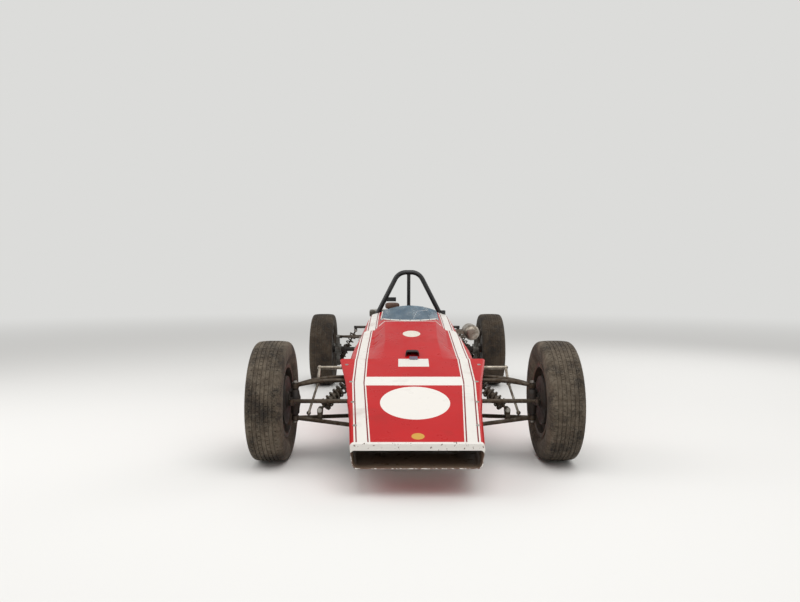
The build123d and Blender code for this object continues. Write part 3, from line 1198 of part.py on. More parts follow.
# Gearbox with its bellhousing and the covers of the differential's outputs
GEARBOX_TAIL_Y = REAR_AXLE_Y + 385.0
GEARBOX_TOP_Z = 405.0
GEARBOX_FLOOR_Z = 172.0
with BuildPart() as gearbox:
    with BuildSketch(Plane.XZ.offset(-ENGINE_REAR_Y - SEAT_GAP)) as bell_front:
        with Locations((0, 298)):
            RectangleRounded(270, 306, 90)
    with BuildSketch(Plane.XZ.offset(-(REAR_AXLE_Y - 110))) as bell_rear:
        with Locations((0, (GEARBOX_TOP_Z + GEARBOX_FLOOR_Z) / 2)):
            RectangleRounded(2 * GEARBOX_HALF_WIDTH, GEARBOX_TOP_Z - GEARBOX_FLOOR_Z, 40)
    loft()
    with BuildSketch(Plane.XZ.offset(-(REAR_AXLE_Y - 110))):
        with Locations((0, (GEARBOX_TOP_Z + GEARBOX_FLOOR_Z) / 2)):
            RectangleRounded(2 * GEARBOX_HALF_WIDTH, GEARBOX_TOP_Z - GEARBOX_FLOOR_Z, 40)
    extrude(amount=-215)
    with BuildSketch(Plane.XZ.offset(-(REAR_AXLE_Y + 105))):
        with Locations((0, 275)):
            RectangleRounded(150, 196, 34)
    extrude(amount=-(GEARBOX_TAIL_Y - REAR_AXLE_Y - 125))
    with BuildSketch(Plane.XZ.offset(-(GEARBOX_TAIL_Y - 20))):
        with Locations((0, 275)):
            RectangleRounded(168, 212, 38)
    extrude(amount=-20)
    add(disc_along(Plane.YZ, (REAR_AXLE_Y, REAR_TYRE_RADIUS), 72, 2 * (GEARBOX_HALF_WIDTH + 12)))
    add(disc_along(Plane.YZ, (REAR_AXLE_Y, REAR_TYRE_RADIUS), 34, 2 * GEARBOX_OUTPUT_X))
    for side in (-1, 1):
        start = (side * (GEARBOX_OUTPUT_X - 21), REAR_AXLE_Y, REAR_TYRE_RADIUS)
        end = (side * (GEARBOX_OUTPUT_X + 1), REAR_AXLE_Y, REAR_TYRE_RADIUS)
        add(tube(start, end, SHAFT_RADIUS - 3 + RUNNING_GAP), mode=Mode.SUBTRACT)
    # A pad rests on the cross tube of the rear bulkhead
    with BuildSketch(Plane.XY.offset(REAR_BULKHEAD.low_z + CROSS_TUBE + SEAT_GAP)):
        with Locations((0, REAR_BULKHEAD.y)):
            Rectangle(90, 36)
    extrude(amount=GEARBOX_FLOOR_Z - REAR_BULKHEAD.low_z)
gearbox.part.label = "gearbox"
export_step(gearbox.part, "parts/gearbox.step")

# Polished oil tank on the left of the engine bay
TANK_CENTRE = (470.0, HOOP_Y + 275, 490.0)
TANK_LENGTH = 240.0
with BuildPart() as oil_tank:
    with BuildSketch(Plane.XY.offset(TANK_CENTRE[2])):
        with BuildLine():
            front_y = TANK_CENTRE[1] - TANK_LENGTH / 2
            rear_y = TANK_CENTRE[1] + TANK_LENGTH / 2
            x = TANK_CENTRE[0]
            corners = [(x, front_y), (x + TANK_RADIUS, front_y), (x + TANK_RADIUS, rear_y), (x, rear_y)]
            FilletPolyline(*corners, radius=(36, 20))
            Line(corners[-1], corners[0])
        make_face()
    revolve(axis=Axis((x, front_y, TANK_CENTRE[2]), (0, 1, 0)))
    for offset in (-70, 70):
        y = TANK_CENTRE[1] + offset
        rail_x, rail_z = rail_at(HOOP_BULKHEAD, REAR_BULKHEAD, y - 2.5, True)
        seat = (rail_x + FRAME_TUBE + SEAT_GAP + 11, rail_z)
        tank_side = (TANK_CENTRE[0] - 40, TANK_CENTRE[2])
        add(link_plate(Plane.XZ.offset(-y), tank_side, 14, seat, 11, 5))
oil_tank.part.label = "oil_tank"
export_step(oil_tank.part, "parts/oil_tank.step")

# Rear links: an upper and a lower cross link and two radius rods on each side
ROD_RADIUS = 8.0
with BuildPart() as rear_links:
    for inner, outer in (
        (REAR_UPPER_PIVOT, (UPRIGHT_X, TOP_EYE_Y, UPRIGHT_TOP[2])),
        (REAR_LOWER_PIVOT, (UPRIGHT_X, FOOT_EYE_Y, UPRIGHT_FOOT[2])),
    ):
        ends = ((inner, EYE_LENGTH), (outer, LINK_EYE_LENGTH))
        eyes = [disc_along(Plane.XZ.offset(-p[1]), (p[0], p[2]), EYE_RADIUS, length) for p, length in ends]
        add([tube(inner, outer, ROD_RADIUS)] + eyes)
        for point, length in ends:
            bored((point[0], point[2]), Plane.XZ.offset(-point[1]), BOLT_RADIUS, length + 2)
    for (y, z, upper), (upright_x, upright_y, upright_z) in zip(ROD_PIVOTS, (UPRIGHT_TOP, UPRIGHT_FOOT)):
        rail_x, _ = rail_at(HOOP_BULKHEAD, REAR_BULKHEAD, y, upper)
        inner = (rail_x + 17 + SEAT_GAP + ROD_EYE_HALF, y, z)
        outer = (upright_x - ROD_INSET, upright_y, upright_z)
        ends = (inner, outer)
        eyes = [disc_along(Plane.YZ.offset(p[0]), p[1:], EYE_RADIUS, 2 * ROD_EYE_HALF) for p in ends]
        add([tube(inner, outer, ROD_RADIUS)] + eyes)
        for point in ends:
            bored(point[1:], Plane.YZ.offset(point[0]), BOLT_RADIUS, 2 * ROD_EYE_HALF + 2)
    mirror(about=Plane.YZ)
rear_links.part.label = "rear_links"
export_step(rear_links.part, "parts/rear_links.step")

# Front anti-roll bar with its levers and drop links
ROLL_BAR_HALF = 488.0
LEVER_TIP = (484.0, FRONT_AXLE_Y + 122, 352.0)
LINK_BALL = 11.0
LINK_SHARE = 0.19
arm_tip = Vector(KINGPIN_X, FRONT_AXLE_Y, LOWER_BALL_Z)
arm_run = Vector(*LOWER_PIVOTS[1]) - arm_tip
arm_up = arm_run.cross(Vector(0, 0, 1).cross(arm_run)).normalized()
LINK_FOOT = tuple(arm_tip + arm_run * LINK_SHARE + arm_up * (ARM_RADIUS + LINK_BALL + SEAT_GAP))
with BuildPart() as anti_roll_bar:
    bar_end = (ROLL_BAR_HALF, ROLL_BAR_Y, ROLL_BAR_Z)
    add(tube((0, ROLL_BAR_Y, ROLL_BAR_Z), bar_end, ROLL_BAR_RADIUS))
    add(tube(bar_end, LEVER_TIP, 7))
    add(tube(LEVER_TIP, LINK_FOOT, 6))
    for point, radius in ((bar_end, 12), (LEVER_TIP, 11), (LINK_FOOT, LINK_BALL)):
        with Locations(point):
            Sphere(radius)
    mirror(about=Plane.YZ)
anti_roll_bar.part.label = "anti_roll_bar"
export_step(anti_roll_bar.part, "parts/anti_roll_bar.step")
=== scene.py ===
"""The looks of an open wheel racing car of the early 1970s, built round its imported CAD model.

Lengths are metres. The nose faces -Y, +X is the driver's left, +Z is up, and the ground is at zero.
"""

import logging
import math
from dataclasses import dataclass, field
from enum import Enum
from typing import Any

import bpy
import numpy as np
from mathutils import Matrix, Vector


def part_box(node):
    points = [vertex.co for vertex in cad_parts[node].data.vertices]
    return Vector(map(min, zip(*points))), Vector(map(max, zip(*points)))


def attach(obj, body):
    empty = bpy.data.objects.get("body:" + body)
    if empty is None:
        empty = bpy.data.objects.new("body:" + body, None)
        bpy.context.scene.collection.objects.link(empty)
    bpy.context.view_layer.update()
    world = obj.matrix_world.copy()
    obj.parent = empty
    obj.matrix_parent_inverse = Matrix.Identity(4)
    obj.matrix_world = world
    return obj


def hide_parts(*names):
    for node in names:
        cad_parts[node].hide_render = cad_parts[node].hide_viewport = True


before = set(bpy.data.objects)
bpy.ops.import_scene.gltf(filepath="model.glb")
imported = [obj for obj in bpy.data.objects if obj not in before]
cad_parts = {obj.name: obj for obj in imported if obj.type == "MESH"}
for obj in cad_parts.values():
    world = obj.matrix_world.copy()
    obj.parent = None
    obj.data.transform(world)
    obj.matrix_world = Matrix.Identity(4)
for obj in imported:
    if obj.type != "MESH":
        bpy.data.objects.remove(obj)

LOG = logging.getLogger("racing_car")
MM = 0.001
WHEELS = ("front_left", "front_right", "rear_left", "rear_right")
FRONT_AXLE_Y = -1.19
REAR_AXLE_Y = 1.17
REAR_AXLE_Z = 0.297
HOOP_Y = 0.285
FORWARD, BACK, UP = (0, -1, 0), (0, 1, 0), (0, 0, 1)


class Side(Enum):
    """A side of the car, as the sign of its X."""

    LEFT = 1
    RIGHT = -1


class Shape(Enum):
    """How a patch painted on the body is bounded, seen from above."""

    ROUND = "round"
    SQUARE = "square"


# Surfaces


@dataclass
class Surface:
    """Points, and the faces that join them."""

    points: np.ndarray
    faces: list[list[int]]


def joined(surfaces: list[Surface]) -> Surface:
    """Put several surfaces into one.

    Args:
        surfaces: The surfaces, in order.

    Returns:
        One surface with all their points and faces.
    """
    faces: list[list[int]] = []
    start = 0
    for surface in surfaces:
        faces += [[start + index for index in face] for face in surface.faces]
        start += len(surface.points)
    return Surface(np.concatenate([surface.points for surface in surfaces]), faces)


def woven(grid: np.ndarray, loop: bool = False) -> Surface:
    """Join a grid of points into a surface: each point to its neighbours along and across.

    Args:
        grid: Points as rows by columns by three. Columns go anticlockwise seen against the rows' direction,
            and the last joins the first.
        loop: True where the last row joins the first. Otherwise both end rows are closed with a face each.

    Returns:
        The surface, whose faces point outwards.
    """
    rows, columns = grid.shape[:2]
    index = np.arange(rows * columns).reshape(rows, columns)
    index = np.concatenate([index, index[:, :1]], axis=1)
    index = np.concatenate([index, index[:1]], axis=0) if loop else index
    quads = np.stack([index[:-1, :-1], index[:-1, 1:], index[1:, 1:], index[1:, :-1]], axis=-1)
    faces = quads.reshape(-1, 4).tolist()
    if not loop:
        faces += [index[0, :columns][::-1].tolist(), index[-1, :columns].tolist()]
    return Surface(grid.reshape(-1, 3), faces)


def softened(points: Any, rounds: int = 3) -> np.ndarray:
    """Cut the corners of a run of points again and again, each time at a quarter of every leg.

    Args:
        points: The run's points, one row each.
        rounds: How often the corners are cut.

    Returns:
        The smooth run, with its two ends kept.
    """
    run = np.asarray(points, float)
    for _ in range(rounds):
        near = 0.75 * run[:-1] + 0.25 * run[1:]
        far = 0.25 * run[:-1] + 0.75 * run[1:]
        middle = np.stack([near, far], axis=1).reshape(-1, run.shape[1])
        run = np.concatenate([run[:1], middle[1:-1], run[-1:]])
    return run


def around(count: int) -> np.ndarray:
    """The angles of evenly spaced points on one whole turn."""
    return np.linspace(0, 2 * np.pi, count, endpoint=False)


def swept(path: Any, radius: Any, sides: int = 16, up: tuple = (0.0, 0.0, 1.0), flat: float = 1.0) -> Surface:
    """Carry a circle or an oval along a path, square to it.

    A point is the path's point plus the radius times the cosine sideways and the sine upwards.

    Args:
        path: The path's points.
        radius: One radius, or one for each point of the path.
        sides: How many points go round.
        up: A direction that the path never follows.
        flat: The oval's height as a share of its width.

    Returns:
        A closed bar.
    """
    run = np.asarray(path, float)
    along = np.gradient(run, axis=0)
    along /= np.linalg.norm(along, axis=1, keepdims=True)
    raised = np.asarray(up, float) - along * (along @ np.asarray(up, float))[:, None]
    raised /= np.linalg.norm(raised, axis=1, keepdims=True)
    sideways = np.cross(raised, along)
    turn = around(sides)
    size = np.broadcast_to(np.asarray(radius, float), (len(run),))[:, None, None]
    ring = (sideways[:, None] * np.cos(turn)[None, :, None]
            + flat * raised[:, None] * np.sin(turn)[None, :, None])
    return woven(run[:, None] + size * ring)


def turned(profile: Any, origin: Any, axis: Any, sides: int = 24) -> Surface:
    """Turn a profile about an axis: each point is the origin plus its distance along and its radius out.

    Args:
        profile: Rows of (distance along the axis, radius).
        origin: Where the axis starts.
        axis: The axis's direction.
        sides: How many points go round.

    Returns:
        A closed turned surface.
    """
    rows = np.asarray(profile, float)
    direction = np.asarray(axis, float) / np.linalg.norm(axis)
    helper = np.array([0.0, 0.0, 1.0]) if abs(direction[2]) < 0.9 else np.array([0.0, 1.0, 0.0])
    first = np.cross(helper, direction)
    first /= np.linalg.norm(first)
    second = np.cross(direction, first)
    turn = around(sides)
    ring = np.cos(turn)[:, None] * first + np.sin(turn)[:, None] * second
    middle = np.asarray(origin, float) + rows[:, :1] * direction
    return woven(middle[:, None] + rows[:, 1][:, None, None] * ring[None])


def block(centre: Any, size: Any, edge: float) -> Surface:
    """A block with rounded edges: four square rings whose corners are arcs, drawn in at both ends.

    Args:
        centre: The block's middle.
        size: Its length along X, Y and Z.
        edge: The radius of its edges.

    Returns:
        A closed block.
    """
    half = np.asarray(size, float) / 2
    turn = around(32) + np.pi / 32
    round_x, round_y = np.cos(turn), np.sin(turn)
    rows = []
    for height, draw in ((-1, edge), (-1, 0.3 * edge), (1, 0.3 * edge), (1, edge)):
        z = height * (half[2] - (edge * 0.7 if draw < edge else 0.0))
        x = np.sign(round_x) * (half[0] - edge) + (edge - draw) * round_x
        y = np.sign(round_y) * (half[1] - edge) + (edge - draw) * round_y
        rows.append(np.stack([x, y, np.full_like(x, z)], axis=1))
    return woven(np.stack(rows) + np.asarray(centre, float))


def ribbon(path: Any, across: Any, width: float, thickness: float) -> Surface:
    """Carry a flat strap along a path.

    Eight points go round it: the path's point plus shares of its width and thickness.

    Args:
        path: The path's points.
        across: The direction of its width, one for all points or one each.
        width: Its width.
        thickness: Its thickness.

    Returns:
        A closed strap.
    """
    run = np.asarray(path, float)
    along = np.gradient(run, axis=0)
    along /= np.linalg.norm(along, axis=1, keepdims=True)
    wide = np.broadcast_to(np.asarray(across, float), run.shape)
    wide = wide - along * np.sum(wide * along, axis=1, keepdims=True)
    wide /= np.linalg.norm(wide, axis=1, keepdims=True)
    thick = np.cross(wide, along)
    shares = np.array([(1, -0.6), (1, 0.6), (0.94, 1), (-0.94, 1), (-1, 0.6), (-1, -0.6), (-0.94, -1),
                       (0.94, -1)]) / 2
    ring = wide[:, None] * shares[None, :, :1] * width - thick[:, None] * shares[None, :, 1:] * thickness
    return woven((run[:, None] + ring)[:, ::-1])


def banded(centre: Any, axis: Any, radius: float, width: float, thickness: float, sides: int = 32) -> Surface:
    """A flat band round a pipe: a closed rectangle turned about an axis."""
    half = width / 2
    rows = [(-half, radius), (-half, radius + thickness), (half, radius + thickness), (half, radius)]
    ring = turned(rows, centre, axis, sides)
    grid = ring.points.reshape(4, sides, 3)
    return woven(grid, loop=True)


def bolt(place: Any, axis: Any, radius: float, height: float) -> Surface:
    """A hexagon head on a washer, which stands on a place and faces along an axis."""
    washer = turned([(0, radius * 1.35), (height * 0.22, radius * 1.35)], place, axis, 20)
    rows = [(height * 0.22, radius), (height * 0.85, radius), (height, radius * 0.86)]
    return joined([washer, turned(rows, place, axis, 6)])


def bolt_circle(centre: Any, axis: Any, reach: float, turns: Any, radius: float,
                height: float) -> list[Surface]:
    """Bolts on a circle whose axis lies along the car or across it.

    Args:
        centre: The circle's middle.
        axis: The direction that the heads face.
        reach: The circle's radius.
        turns: Each bolt's angle, in radians.
        radius: A head's radius.
        height: A head's height.

    Returns:
        The bolts, in the angles' order.
    """
    level = 1 if axis[0] else 0
    places = np.tile(np.asarray(centre, float), (len(turns), 1))
    places[:, level] += reach * np.cos(turns)
    places[:, 2] += reach * np.sin(turns)
    return [bolt(place, axis, radius, height) for place in places]


def rivet(place: Any, axis: Any) -> Surface:
    """A small domed rivet head."""
    return turned([(-0.0005, 0.0036), (0.0004, 0.0036), (0.0011, 0.0018)], place, axis, 8)


# Materials


def linear(code: str) -> tuple[float, float, float, float]:
    """Turn a colour written as six hex digits of sRGB into linear light.

    Args:
        code: The colour, such as "c43234".

    Returns:
        Red, green, blue and an alpha of one.
    """
    values = [int(code[start : start + 2], 16) / 255 for start in (0, 2, 4)]
    red, green, blue = [v / 12.92 if v <= 0.04045 else ((v + 0.055) / 1.055) ** 2.4 for v in values]
    return red, green, blue, 1.0


def add_node(tree: Any, kind: str, inputs: dict[Any, Any] | None = None, out: Any = 0,
             **settings: Any) -> Any:
    """Add a node, with its settings, values and links.

    Args:
        tree: The material's node tree.
        kind: The node's type name after "ShaderNode".
        inputs: Each input by name or number, with a value or with the wire that feeds it.
        out: The output to hand back.
        **settings: The node's own settings.

    Returns:
        A wire from the chosen output, or the node itself where it has none.
    """
    made = tree.nodes.new("ShaderNode" + kind)
    for key, value in settings.items():
        setattr(made, key, value)
    for key, value in (inputs or {}).items():
        if isinstance(value, Wire):
            value.feeds(made, key)
        else:
            made.inputs[key].default_value = value
    return Wire(tree, made.outputs[out]) if len(made.outputs) else made


@dataclass(frozen=True, eq=False)
class Wire:
    """A value in a node tree. Python's signs work on it, and each adds a node to the tree."""

    tree: Any
    socket: Any

    def feeds(self, node: Any, key: Any) -> None:
        """Link the value to one of a node's inputs."""
        self.tree.links.new(self.socket, node.inputs[key])

    def made(self, kind: str, inputs: dict[Any, Any], out: Any = 0, **settings: Any) -> Any:
        """Add a node to the same tree, as add_node does."""
        return add_node(self.tree, kind, inputs, out, **settings)

    def worked(self, operation: str, other: Any = 0.0) -> "Wire":
        """Work out one sum of this value and another."""
        return self.made("Math", {0: self, 1: other}, operation=operation)

    def __add__(self, other: Any) -> "Wire":
        """The sum of both."""
        return self.worked("ADD", other)

    def __sub__(self, other: Any) -> "Wire":
        """What is left of this value."""
        return self.worked("SUBTRACT", other)

    def __mul__(self, other: Any) -> "Wire":
        """The product of both."""
        return self.worked("MULTIPLY", other)

    def __truediv__(self, other: Any) -> "Wire":
        """This value's share of the other."""
        return self.worked("DIVIDE", other)

    def __pow__(self, other: float) -> "Wire":
        """This value raised to a power."""
        return self.worked("POWER", other)

    def __abs__(self) -> "Wire":
        """This value without its sign."""
        return self.worked("ABSOLUTE")

    def __lt__(self, other: Any) -> "Wire":
        """One where this value is the smaller, and zero elsewhere."""
        return self.worked("LESS_THAN", other)

    def __gt__(self, other: Any) -> "Wire":
        """One where this value is the larger, and zero elsewhere."""
        return self.worked("GREATER_THAN", other)

    def within(self, low: Any, high: Any) -> "Wire":
        """One where this value lies between two limits, and zero elsewhere."""
        return (self > low) * (self < high)

    def ranged(self, low: float, high: float, start: float = 0.0, end: float = 1.0) -> "Wire":
        """Spread the value between two limits over another range, and hold it there."""
        values = {"Value": self, "From Min": low, "From Max": high, "To Min": start, "To Max": end}
        return self.made("MapRange", values)

    def mixed(self, first: Any, second: Any) -> "Wire":
        """Blend two colours, with this value as the second one's share."""
        return self.made("Mix", {0: self, 6: first, 7: second}, out=2, data_type="RGBA")

    def parts(self) -> list["Wire"]:
        """The three parts of a place or a direction."""
        node = self.made("SeparateXYZ", {0: self}).socket.node
        return [Wire(self.tree, output) for output in node.outputs]


@dataclass(frozen=True)
class Finish:
    """A surface with clouded colour, settled dirt, and a fine grain.

    Colours are sRGB hex. Sizes of patterns are real millimetres.
    """

    name: str
    colour: str
    tone: str
    dirt: str = "6b5a48"
    dirt_share: float = 0.3
    cloud_mm: float = 120.0
    grain_mm: float = 2.0
    grain_depth_mm: float = 0.05
    metallic: float = 0.0
    roughness: float = 0.5
    rough_spread: float = 0.1
    coat: float = 0.0

    def noise(self, place: Wire, size_mm: float, detail: float = 5.0) -> Wire:
        """Noise whose features have a real size.

        Args:
            place: The coordinates that it reads.
            size_mm: How wide a feature is.
            detail: How many finer layers it has.

        Returns:
            The noise's value.
        """
        values = {"Vector": place, "Scale": 1.0 / (size_mm * MM), "Detail": detail, "Roughness": 0.6}
        return place.made("TexNoise", values)

    def base_colour(self, place: Wire) -> Wire:
        """The clean colour: two tones that cloud into each other."""
        share = self.noise(place, self.cloud_mm).ranged(0.35, 0.65)
        return share.mixed(linear(self.colour), linear(self.tone))

    def bump_height(self, place: Wire) -> Wire:
        """The height of the fine grain."""
        return self.noise(place, self.grain_mm, 2.0)

    def finish_shader(self, shader: Any, place: Wire) -> None:
        """Set what only some finishes need. The plain finish needs nothing more."""

    def build(self) -> Any:
        """Make the material.

        Returns:
            The Blender material.
        """
        material = bpy.data.materials.new(self.name)
        material.use_nodes = True
        shader = material.node_tree.nodes["Principled BSDF"]
        place = add_node(material.node_tree, "TexCoord", out="Object")
        edge = 0.72 - 0.42 * self.dirt_share
        most = min(1.0, 0.4 + self.dirt_share)
        dirt = self.noise(place, self.cloud_mm * 0.7, 8.0).ranged(edge - 0.12, edge + 0.16, 0.0, most)
        dirt.mixed(self.base_colour(place), linear(self.dirt)).feeds(shader, "Base Color")
        low, high = (max(self.roughness - self.rough_spread, 0.02),
                     min(self.roughness + self.rough_spread, 1.0))
        rough = self.noise(place, self.cloud_mm * 0.25, 6.0).ranged(0.3, 0.7, low, high)
        (rough + dirt * 0.35).feeds(shader, "Roughness")
        height = self.bump_height(place)
        bump = place.made("Bump", {"Strength": 0.5, "Distance": self.grain_depth_mm * MM, "Height": height})
        bump.feeds(shader, "Normal")
        shader.inputs["Metallic"].default_value = self.metallic
        shader.inputs["Coat Weight"].default_value = self.coat
        shader.inputs["Coat Roughness"].default_value = 0.12
        self.finish_shader(shader, place)
        return material


@dataclass(frozen=True)
class Patch:
    """A bare patch painted or stuck on the body, seen from above: its middle, its size and its colour."""

    x: float
    y: float
    width: float
    length: float
    colour: str
    shape: Shape = Shape.SQUARE

    def reach(self, x: Wire, y: Wire) -> Wire:
        """The square of how far a place is from the middle, in half-widths across and half-lengths along."""
        return ((x - self.x) / (self.width / 2)) ** 2.0 + ((y - self.y) / (self.length / 2)) ** 2.0

    def mask(self, x: Wire, y: Wire) -> Wire:
        """One on the patch, and zero elsewhere."""
        if self.shape is Shape.ROUND:
            return self.reach(x, y) < 1.0
        across = x.within(self.x - self.width / 2, self.x + self.width / 2)
        return across * y.within(self.y - self.length / 2, self.y + self.length / 2)


@dataclass(frozen=True)
class RacingPaint(Finish):
    """Sprayed enamel over glass fibre: a deep gloss with dust, faint ripples, stripes and patches."""

    white: str = "e2ded7"
    pin: str = "7c1f26"
    bare: str = "6b5146"
    laminate: str = "85705f"
    # Each row is a place along the car and where the stripes' inner edge lies there
    edge_line: tuple[tuple[float, float], ...] = (
        (-1.80, 0.187),
        (-1.19, 0.235),
        (-0.60, 0.243),
        (-0.254, 0.236),
        (-0.251, 0.209),
        (0.30, 0.205),
    )
    # Each row is where a line starts and ends outwards of the inner edge, and whether it is white
    lines: tuple[tuple[float, float, bool], ...] = (
        (0.000, 0.006, True),
        (0.006, 0.012, False),
        (0.012, 0.054, True),
        (0.054, 0.060, False),
        (0.060, 0.067, True),
    )
    lip_end: float = -1.758
    seam_y: float = -0.2505
    cowl_width: float = 0.018
    cowl_half: float = 0.197
    patches: tuple[Patch, ...] = (
        Patch(0.0, -1.403, 0.320, 0.330, "e6e2db", Shape.ROUND),
        Patch(0.0, -1.172, 0.480, 0.100, "e6e2db"),
        Patch(0.004, -0.943, 0.160, 0.104, "dedad3"),
        Patch(0.003, -0.500, 0.104, 0.116, "dcd5c8", Shape.ROUND),
        Patch(0.004, -1.712, 0.054, 0.052, "c99b45", Shape.ROUND),
    )
    cracks: tuple[Patch, ...] = (
        Patch(0.158, -1.7660, 0.0035, 0.015, "4a3b33"),
        Patch(0.152, -1.7605, 0.0120, 0.0028, "4a3b33"),
        Patch(-0.214, -1.7700, 0.0060, 0.010, "5d4a3c", Shape.ROUND),
    )
    # Each row is a dent's place along x and y, its radius and its depth, in metres
    dents: tuple[tuple[float, float, float, float], ...] = (
        (-0.214, -0.430, 0.036, 0.0130),
        (-0.208, -0.540, 0.026, 0.0090),
        (-0.180, -0.350, 0.024, 0.0080),
        (0.206, -0.640, 0.034, 0.0110),
        (0.192, -0.400, 0.022, 0.0070),
        (0.120, -0.300, 0.020, 0.0050),
        (-0.262, -0.310, 0.026, 0.0080),
    )

    def inner_edge(self, y: Wire) -> Wire:
        """Where the stripes' inner edge lies. A curve node's one stands for half a metre here."""
        start, end = self.edge_line[0][0], self.edge_line[-1][0]
        curve = y.made("FloatCurve", {"Value": y.ranged(start, end)})
        mapping = curve.socket.node.mapping
        points = mapping.curves[0].points
        for along, _ in self.edge_line[1:-1]:
            points.new((along - start) / (end - start), 0.5)
        for point, (along, inner) in zip(points, self.edge_line):
            point.location = ((along - start) / (end - start), inner * 2)
            point.handle_type = "VECTOR"
        mapping.update()
        return curve * 0.5

    def base_colour(self, place: Wire) -> Wire:
        """Red, with the stripes along the sides, the white lip and the bare patches."""
        colour = super().base_colour(place)
        x, y, z = place.parts()
        outward = abs(x) - self.inner_edge(y)
        for low, high, is_white in self.lines:
            line_colour = linear(self.white if is_white else self.pin)
            colour = outward.within(low, high).mixed(colour, line_colour)
        for patch in self.patches:
            colour = patch.mask(x, y).mixed(colour, linear(patch.colour))
        # The lip is white, chipped down to dark glass fibre, and mostly worn bare along its lower edge
        wedge = y.ranged(-1.775, -0.775, 0.217, 0.488)
        lower = (z - wedge) < -0.034
        chips = (self.noise(place, 11.0, 6.0) + lower * 0.17).ranged(0.63, 0.66)
        lip_colour = chips.mixed(linear(self.white), linear(self.bare))
        colour = (y < self.lip_end).mixed(colour, lip_colour)
        for crack in self.cracks:
            colour = crack.mask(x, y).mixed(colour, linear(crack.colour))
        cowl = y.within(self.seam_y, self.seam_y + self.cowl_width) * (abs(x) < self.cowl_half)
        colour = cowl.mixed(colour, linear(self.white))
        return self.inner_faces(x, z).mixed(colour, linear(self.laminate))

    def inner_faces(self, x: Wire, z: Wire) -> Wire:
        """One on the shell's inner faces: facing the centreline, or down under the top, or up in the pan."""
        across, _, upward = x.made("NewGeometry", {}, out="Normal").parts()
        side = (across * x.worked("SIGN")) < -0.25
        roof = (upward < -0.25) * (z > 0.142)
        floor = (upward > 0.9) * (z < 0.13)
        return side.worked("MAXIMUM", roof).worked("MAXIMUM", floor)

    def finish_shader(self, shader: Any, place: Wire) -> None:
        """Old enamel has lost some of its gloss."""
        shader.inputs["Specular IOR Level"].default_value = 0.12

    def bump_height(self, place: Wire) -> Wire:
        """Broad ripples of hand-laid glass fibre, and dents that fall off as (1 - squared reach) squared."""
        height = self.noise(place, 60.0, 1.0)
        x, y, _ = place.parts()
        for middle_x, middle_y, radius, depth in self.dents:
            reach = Patch(middle_x, middle_y, 2 * radius, 2 * radius, "").reach(x, y)
            bowl = reach.ranged(0.0, 1.0, 1.0, 0.0) ** 2.0
            height = height - bowl * (depth / (self.grain_depth_mm * MM))
        return height


@dataclass(frozen=True)
class Acrylic(Finish):
    """Tinted cast acrylic sheet: it lets some light through, with scratches, haze and one crack."""

    crack: tuple[tuple[float, float], ...] = ((0.021, 0.634), (0.046, 0.678), (0.117, 0.684))
    crack_half_width: float = 0.0012

    def base_colour(self, place: Wire) -> Wire:
        """The tint, with the pale line of a crack that runs up and then across."""
        colour = super().base_colour(place)
        x, _, z = place.parts()
        for (x0, z0), (x1, z1) in zip(self.crack[:-1], self.crack[1:]):
            run = math.hypot(x1 - x0, z1 - z0)
            ux, uz = (x1 - x0) / run, (z1 - z0) / run
            dx, dz = x - x0, z - z0
            near = abs(dz * ux - dx * uz) < self.crack_half_width
            on_run = abs(dx * ux + dz * uz - run / 2) < run / 2
            colour = (near * on_run).mixed(colour, linear("e8ecee"))
        return colour

    def finish_shader(self, shader: Any, place: Wire) -> None:
        """Let part of the light through."""
        shader.inputs["Transmission Weight"].default_value = 0.55
        shader.inputs["IOR"].default_value = 1.49


@dataclass(frozen=True)
class Dial(Finish):
    """A printed instrument face: black, with pale marks round its rim and a pale pointer."""

    centre: tuple[float, float] = (0.0, 0.0)
    reach: float = 0.024
    marks: float = 12.0

    def base_colour(self, place: Wire) -> Wire:
        """Black with the marks round the rim."""
        across, _, height = place.parts()
        x, z = across - self.centre[0], height - self.centre[1]
        marks = (z.worked("ARCTAN2", x) * self.marks).worked("COSINE") > 0.86
        rim = (x ** 2.0 + z ** 2.0).worked("SQRT") > self.reach * 0.72
        needle = (abs(x + z) < 0.0012) * (z > 0.0)
        mask = (marks * rim).worked("MAXIMUM", needle)
        return mask.mixed(linear(self.colour), linear("e8e4d6"))


@dataclass(frozen=True)
class DustyRubber(Finish):
    """Tyre rubber: nearly black, under an uneven film of floor dust with a fine grain."""

    dust: str = "6c6152"

    def base_colour(self, place: Wire) -> Wire:
        """Two dark tones under dust in patches a hand wide."""
        dark = super().base_colour(place)
        broad, fine = self.noise(place, 120.0, 4.0), self.noise(place, 7.0, 4.0)
        share = (fine * 0.60 + broad).ranged(0.66, 0.90, 0.0, 0.85)
        return share.mixed(dark, linear(self.dust))


@dataclass(frozen=True)
class FadingFloor(Finish):
    """A matt floor that turns into the backdrop's colour far from the car."""

    far_colour: str = "dcdcda"
    near_m: float = 4.5
    far_m: float = 15.0

    def finish_shader(self, shader: Any, place: Wire) -> None:
        """Give light of the backdrop's colour, none near the car and all of it far away."""
        distance = place.made("VectorMath", {0: place}, out="Value", operation="LENGTH")
        values = {"Value": distance, "From Min": self.near_m, "From Max": self.far_m}
        share = place.made("MapRange", values, interpolation_type="SMOOTHSTEP")
        clean = Wire(place.tree, shader.inputs["Base Color"].links[0].from_socket)
        share.mixed(clean, linear("000000")).feeds(shader, "Base Color")
        share.feeds(shader, "Emission Strength")
        shader.inputs["Emission Color"].default_value = linear(self.far_colour)
        shader.inputs["Specular IOR Level"].default_value = 0.0


